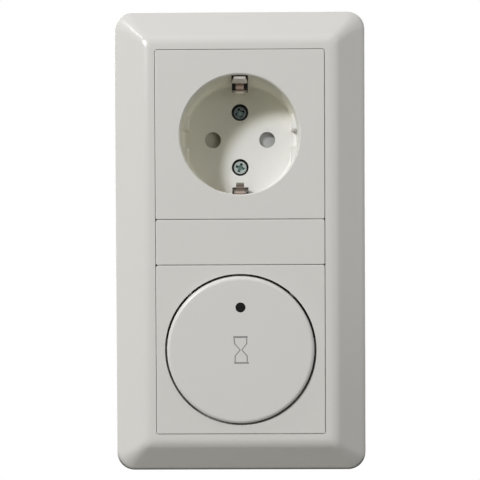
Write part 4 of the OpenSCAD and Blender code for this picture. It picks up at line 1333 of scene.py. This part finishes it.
@dataclass
class CoverSet(Assembly):
    """The sloped cover frame, which turns more softly than its solid, and the strip between the plates."""

    half_w: float = 42.5 * MM
    half_l: float = 78.0 * MM
    rise: float = 11.0 * MM
    slope_run: float = 11.05 * MM
    edge_h: float = 1.8 * MM
    edge_r: float = 1.2 * MM
    rim_r: float = 6.0 * MM
    foot_corner_r: float = 6.0 * MM
    rim_corner_r: float = 2.0 * MM
    corner_flare: float = 2.5
    outer_zone: float = 14.2 * MM
    outer_steps: int = 28
    facing: float = 0.02
    crease: float = 35.0
    weld: float = 1e-6
    sliver: float = 2e-6
    plane_gap: float = 1e-7
    halvings: int = 40

    def build(self) -> None:
        """Make the frame and dress the strip."""
        self.soft_frame()
        self.dress(["filler_strip"])

    @property
    def slope(self) -> float:
        """The slope's angle in radians."""
        return math.atan2(self.rise - self.edge_h, self.slope_run)

    @property
    def rim_inset(self) -> float:
        """How far within the outline the flat rim starts."""
        return self.slope_run + self.rim_r * math.tan(self.slope / 2)

    def height(self, inset: float) -> float:
        """Give the outside's height above the wall.

        Args:
            inset: how far within the outline, in metres.

        Returns:
            The height in metres.
        """
        lean = math.sin(self.slope)
        if inset < self.edge_r * (1.0 - lean):
            foot = self.edge_h - self.edge_r * math.tan((QUARTER_TURN - self.slope) / 2)
            return foot + math.sqrt(max(self.edge_r ** 2 - (self.edge_r - inset) ** 2, 0.0))
        if inset < self.rim_inset - self.rim_r * lean:
            return self.edge_h + inset * math.tan(self.slope)
        if inset < self.rim_inset:
            return self.rise - self.rim_r + math.sqrt(self.rim_r ** 2 - (self.rim_inset - inset) ** 2)
        return self.rise

    def inset(self, aside: float, along: float) -> float:
        """Find the rounded outline that a point lies on, of those that shrink from the foot to the rim.

        Args:
            aside: the point's distance within the frame's side.
            along: its distance within the frame's end.

        Returns:
            How far within the foot's outline it lies.
        """
        low, high = 0.0, min(aside, along)
        spread = self.foot_corner_r - self.rim_corner_r
        for _ in range(self.halvings):
            guess = (low + high) / 2
            share = min(guess / self.rim_inset, 1.0)
            radius = self.rim_corner_r + spread * (1.0 - share) ** self.corner_flare
            centre = guess + radius
            if math.hypot(max(centre - aside, 0.0), max(centre - along, 0.0)) > radius:
                high = guess
            else:
                low = guess
        return low

    def soft_frame(self) -> None:
        """Copy the frame's solid and redraw its outside with softer corners and a softer rim."""
        bm = bmesh.new()
        bm.from_mesh(frame["nodes"]["cover_frame"].data)
        bmesh.ops.remove_doubles(bm, verts=bm.verts, dist=self.weld)
        bm.normal_update()
        front = [f for f in bm.faces
                 if f.normal.y < -self.facing and self.distances(f.calc_center_median())[2] < 0.0]
        cuts = [self.outer_zone * i / self.outer_steps for i in range(self.outer_steps, 0, -1)]
        front = self.cut(bm, front, cuts[:1])
        outer = [f for f in front if min(self.distances(f.calc_center_median())[:2]) < self.outer_zone]
        outer = self.cut(bm, outer, cuts[1:])
        for vert in {v for f in outer for v in f.verts}:
            aside, along, _ = self.distances(vert.co)
            vert.co.y = -self.height(self.inset(aside, along))
        bmesh.ops.dissolve_degenerate(bm, dist=self.sliver, edges=bm.edges)
        bm.normal_update()
        for face in bm.faces:
            face.smooth = True
        for edge in bm.edges:
            edge.smooth = edge.calc_face_angle(math.pi) < math.radians(self.crease)
        mesh = bpy.data.meshes.new("cover_frame_soft")
        bm.to_mesh(mesh)
        bm.free()
        mesh.materials.append(self.wardrobe.material("cover_frame"))
        piece = placed("cover_frame_soft", mesh)
        even = piece.modifiers.new("even", "WEIGHTED_NORMAL")
        even.keep_sharp = True
        self.stand_in(piece, "cover_frame")
        LOG.info("cover_frame_soft: %d faces", len(mesh.polygons))

    def distances(self, spot: Vector) -> Triple:
        """How far a point lies within the frame's side and end, and behind half its edge's height."""
        return (self.half_w - abs(spot.x), self.half_l - abs(spot.z), spot.y + self.edge_h / 2)

    def cut(self, bm: bmesh.types.BMesh, faces: Sequence[bmesh.types.BMFace],
            insets: Sequence[float]) -> List[bmesh.types.BMFace]:
        """Cut faces by planes at even distances within the frame's sides and ends.

        Args:
            bm: the mesh.
            faces: what is cut.
            insets: the planes' distances within the outline.

        Returns:
            The faces after the cuts.
        """
        geometry = list(dict.fromkeys(part for f in faces for part in (f, *f.edges, *f.verts)))
        for inset in insets:
            for sign in (-1.0, 1.0):
                for axis, half in (((1.0, 0.0, 0.0), self.half_w), ((0.0, 0.0, 1.0), self.half_l)):
                    spot = Vector(axis) * (sign * (half - inset))
                    geometry = bmesh.ops.bisect_plane(bm, geom=geometry, dist=self.plane_gap, plane_co=spot,
                                                      plane_no=axis)["geom"]
        return [part for part in geometry if isinstance(part, bmesh.types.BMFace)]


@dataclass
class Gang(Assembly):
    """What the two devices share: their place in the frame, and four screws at the rear."""

    height: float = GANG_HEIGHT
    rear_screw: Screw = Screw(5.4 * MM, 1.8 * MM, 3.0 * MM, 29.6 * MM)
    rear_screw_seat: float = 28.4 * MM
    rear_screw_offset: float = 18.0 * MM
    rear_screw_turns: Tuple[float, ...] = (12.0, 43.0, 74.0, 105.0)

    def rear_screws(self, name: str, node: str) -> None:
        """Make the four screws at the rear.

        Args:
            name: the piece's name.
            node: the packed node that it stands for.
        """
        away = self.rear_screw_offset
        seats = [Seat((x * away, self.rear_screw_seat, self.height + z * away), Side.BACK.turned(turn))
                 for (x, z), turn in zip(CORNERS, self.rear_screw_turns)]
        self.repeat(self.rear_screw, name, seats, node)


@dataclass
class SocketOutlet(Gang):
    """The socket outlet in the upper gang."""

    cover_screw: Screw = Screw(5.1 * MM, 1.9 * MM, 3.0 * MM, 3.4 * MM, pitch=0.5 * MM, thread=0.25 * MM,
                               squareness=0.2)
    cover_screw_pitch: float = 19.2 * MM
    cover_screw_seat: float = 9.6 * MM
    cover_screw_turn: float = 20.0
    spring: CoilSpring = CoilSpring(1.5 * MM, 0.3 * MM, 10.4 * MM, 8.0)
    spring_start: Triple = (-4.4 * MM, 8.9 * MM, GANG_HEIGHT)
    spring_keep: float = 0.394
    leaf: ClampLeaf = ClampLeaf()
    leaf_seat: float = 23.2 * MM
    leaf_keep: float = 0.67
    terminal_reach: float = 16.0 * MM
    earth_reach: float = 14.0 * MM
    wire_pitch: float = 9.0 * MM

    def build(self) -> None:
        """Make screws and springs, and dress the rest."""
        self.cover_screws()
        self.rear_screws("socket_back_screws", "socket_housing_screws")
        self.shutter_spring()
        for pole in Pole:
            self.clamp_leaves(pole)
        self.dress(["socket_cover", "earth_strap", "shutter", "socket_base", "line_contact",
                    "neutral_contact", "socket_back_cover", "line_release_lever", "neutral_release_lever",
                    "earth_release_lever", "socket_support_ring"])

    def cover_screws(self) -> None:
        """Make the two screws in the floor of the recess."""
        seats = []
        for way in (-1, 1):
            place = (0.0, self.cover_screw_seat, self.height + way * self.cover_screw_pitch / 2)
            seats.append(Seat(place, Side.FRONT.turned(way * self.cover_screw_turn)))
        self.repeat(self.cover_screw, "recess_screws", seats, "socket_cover_screws")

    def shutter_spring(self) -> None:
        """Make the spring that pushes the shutter back over the pin holes."""
        seats = [Seat(self.spring_start, (0.0, 90.0, 0.0))]
        piece = self.repeat(self.spring, "shutter_return_spring", seats, "shutter_spring")
        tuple(self.spring_start)
        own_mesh(piece)

    def clamp_leaves(self, pole: Pole) -> None:
        """Make a terminal's two leaf springs, which its pusher presses towards the bar.

        Args:
            pole: the terminal.
        """
        x, z, angle = {
            Pole.LINE: (-self.terminal_reach, 0.0, 0.0),
            Pole.NEUTRAL: (self.terminal_reach, 0.0, 0.0),
            Pole.EARTH: (0.0, -self.earth_reach, -90.0),
        }[pole]
        centre = Vector((x, self.leaf_seat, self.height + z))
        way = Vector((1.0, 0.0, 0.0) if pole is Pole.EARTH else (0.0, 0.0, 1.0))
        places = [centre + way * (s * self.wire_pitch / 2) for s in (-1, 1)]
        seats = [Seat(tuple(place), Side.BACK.turned(angle)) for place in places]
        piece = self.repeat(self.leaf, f"{pole.value}_clamp_leaves", seats, "clamp_springs")
        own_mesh(piece)


@dataclass
class TimerSwitch(Gang):
    """The timer's push button and works in the lower gang."""

    height: float = -GANG_HEIGHT
    rear_screw: Screw = Screw(5.4 * MM, 1.8 * MM, 3.0 * MM, 25.6 * MM)
    rear_screw_seat: float = 23.0 * MM
    clamp_screw: Screw = Screw(4.2 * MM, 1.8 * MM, 2.6 * MM, 2.0 * MM, Drive.SLOT, pitch=0.45 * MM,
                               thread=0.2 * MM)
    clamp_screw_places: Tuple[float, ...] = (-10.5 * MM, -3.5 * MM, 3.5 * MM, 10.5 * MM)
    clamp_screw_turns: Tuple[float, ...] = (25.0, 72.0, 119.0, 166.0)
    clamp_screw_seat: float = 21.0 * MM
    clamp_screw_height: float = -53.7 * MM
    spring: CoilSpring = CoilSpring(5.2 * MM, 0.5 * MM, 8.0 * MM, 6.0)
    spring_angles: Triple = (-90.0, 30.0, 150.0)
    spring_offset: float = 15.0 * MM
    spring_seat: float = -2.8 * MM
    spring_keep: float = 0.85
    sign: PrintedSign = PrintedSign((
        Stroke(((-2.05, 3.70), (2.65, 3.76)), 0.6),
        Stroke(((-1.80, 3.40), (-1.62, 1.55), (0.18, -0.52), (-1.47, -2.49), (-1.50, -4.50)), 0.38),
        Stroke(((2.34, 3.40), (2.34, 1.55), (0.74, -0.52), (2.50, -2.49), (2.50, -4.50)), 0.38),
        Stroke(((-1.80, -4.78), (3.03, -4.78)), 0.55),
    ), (-0.35 * MM, -12.6 * MM, -34.85 * MM))

    def build(self) -> None:
        """Make screws, springs and sign, and dress the rest."""
        self.rear_screws("timer_back_screws", "timer_housing_screws")
        self.clamp_screws()
        self.button_springs()
        self.button_sign()
        self.dress(["timer_cover", "timer_button", "indicator_lens", "timer_carrier", "timer_support_ring",
                    "timer_housing", "circuit_board", "push_switch", "switch_plunger", "indicator_led",
                    "relay", "film_capacitor", "electrolytic_capacitor", "controller_chip", "varistor",
                    "timer_terminal_block", "timer_terminal_clamps"])

    def clamp_screws(self) -> None:
        """Make the screws of the connection clamps."""
        seats = [Seat((x, self.clamp_screw_seat, self.clamp_screw_height), Side.BACK.turned(turn))
                 for x, turn in zip(self.clamp_screw_places, self.clamp_screw_turns)]
        self.repeat(self.clamp_screw, "wire_clamp_screws", seats, "timer_terminal_screws")

    def button_springs(self) -> None:
        """Make the three springs that lift the button."""
        seats = []
        for angle in self.spring_angles:
            x, z = (self.spring_offset * f(math.radians(angle)) for f in (math.cos, math.sin))
            seats.append(Seat((x, self.spring_seat, self.height + z), Side.FRONT.turned(angle)))
        piece = self.repeat(self.spring, "button_return_springs", seats, "button_springs")
        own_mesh(piece)

    def button_sign(self) -> None:
        """Make the hourglass sign on the button."""
        piece = self.sign.build("hourglass_sign", self.wardrobe.material("hourglass_sign"))
        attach(piece, "button")


# Studio


@dataclass(frozen=True)
class Lamp:
    """A round soft lamp: the way towards it, its distance and width, and how bright it makes white."""

    name: str
    toward: Triple
    level: float
    away: float = 2.0
    width: float = 0.3
    colour: Triple = (1.0, 1.0, 1.0)

    def build(self) -> None:
        """Hang the lamp, aimed at the origin."""
        data = bpy.data.lights.new(self.name, "AREA")
        data.shape = "DISK"
        data.size = self.width
        data.energy = self.level * math.pi ** 2 * self.away ** 2
        data.color = self.colour
        lamp = placed(self.name, data)
        way = Vector(self.toward).normalized()
        lamp.location = way * self.away
        lamp.rotation_euler = way.to_track_quat("Z", "Y").to_euler()


@dataclass
class Studio:
    """Camera, lamps, pale floor and white surroundings."""

    camera_place: Triple = (1.8 * MM, -285.0 * MM, 4.5 * MM)
    camera_turn: Triple = (-0.79, 0.39, -0.264)
    camera_clip: float = 0.01
    focal: float = 62.34
    floor_drop: float = -0.35
    floor_half: float = 30.0
    floor_colour: Triple = (0.80, 0.80, 0.80)
    floor_bounce: Triple = (0.175, 0.178, 0.150)
    floor_cloud: float = 0.01
    floor_cloud_scale: float = 6.0
    floor_fade: Pair = (0.30, 0.75)
    ambient: Triple = (0.065, 0.065, 0.065)
    lamps: Tuple[Lamp, ...] = (
        Lamp("key", (-0.576, -0.676, 0.460), 0.75, width=0.33),
        Lamp("upper_left", (-0.65, -0.22, 0.73), 0.09, width=0.4),
        Lamp("top", (0.0, -0.43, 0.9), 0.08, width=1.5),
        Lamp("right", (0.9, -0.43, 0.12), 0.35, width=2.4, colour=(0.99, 1.0, 1.0)),
        Lamp("back_left", (-0.55, 0.75, 0.45), 0.5, width=1.0),
        Lamp("back_right", (0.7, 0.7, 0.15), 0.25, width=1.2),
    )

    def build(self) -> None:
        """Set up everything round the object."""
        self.camera()
        self.floor()
        self.world()
        for lamp in self.lamps:
            lamp.build()
        bpy.context.scene.view_settings.view_transform = "Standard"

    def camera(self) -> None:
        """Stand the camera almost straight in front."""
        data = bpy.data.cameras.new("camera")
        data.lens = self.focal
        data.clip_start = self.camera_clip
        camera = placed("camera", data)
        turn = Euler([math.radians(angle) for angle in self.camera_turn], "ZXY").to_matrix().to_4x4()
        level = Matrix.Rotation(QUARTER_TURN, 4, "X")
        camera.matrix_world = Matrix.Translation(self.camera_place) @ level @ turn
        bpy.context.scene.camera = camera

    def floor(self) -> None:
        """Lay a pale floor that keeps the shadow, is white far off and throws little light back."""
        paint = Paint("floor_finish")
        across, along, _ = paint.place().parts()
        distant = paint.span(reach(across, along), *self.floor_fade)
        pale = paint.varied(paint.noise(self.floor_cloud_scale), self.floor_colour, self.floor_cloud)
        shown = paint.mix(self.seen(paint), opaque(self.floor_bounce), pale)
        matt = paint.node("ShaderNodeBsdfDiffuse", {"Color": shown})
        white = paint.node("ShaderNodeEmission", {"Strength": 1.0})
        factor = self.seen(paint) * distant
        shader = paint.node("ShaderNodeMixShader", {0: factor, 1: matt, 2: white})
        paint.node("ShaderNodeOutputMaterial", {"Surface": shader})
        half = self.floor_half
        mesh = bpy.data.meshes.new("floor")
        mesh.from_pydata([(x * half, y * half, self.floor_drop) for x, y in CORNERS], [], [(0, 1, 2, 3)])
        mesh.materials.append(paint.material)
        placed("floor", mesh)

    @staticmethod
    def seen(graph: Graph) -> Field:
        """One for rays from the camera and for those that metal and glass send on."""
        path = graph.node("ShaderNodeLightPath")
        return path["Is Camera Ray"].most(path["Is Glossy Ray"]).most(path["Is Transmission Ray"])

    def world(self) -> None:
        """Make white surroundings that light the object only softly."""
        world = bpy.data.worlds.new("surroundings")
        world.use_nodes = True
        bpy.context.scene.world = world
        graph = Graph(world.node_tree)
        soft, white = (graph.node("ShaderNodeBackground", {"Color": opaque(colour), "Strength": 1.0})
                       for colour in (self.ambient, (1.0, 1.0, 1.0)))
        shader = graph.node("ShaderNodeMixShader", {0: self.seen(graph), 1: soft, 2: white})
        graph.node("ShaderNodeOutputWorld", {"Surface": shader})


def main() -> None:
    """Build the studio and the three sub-assemblies, and write both boxes down."""
    logging.basicConfig(level=logging.INFO, format="%(name)s: %(message)s")
    Studio().build()
    wardrobe = Wardrobe()
    for assembly in (CoverSet(wardrobe), SocketOutlet(wardrobe), TimerSwitch(wardrobe)):
        assembly.build()


if __name__ == "__main__":
    main()
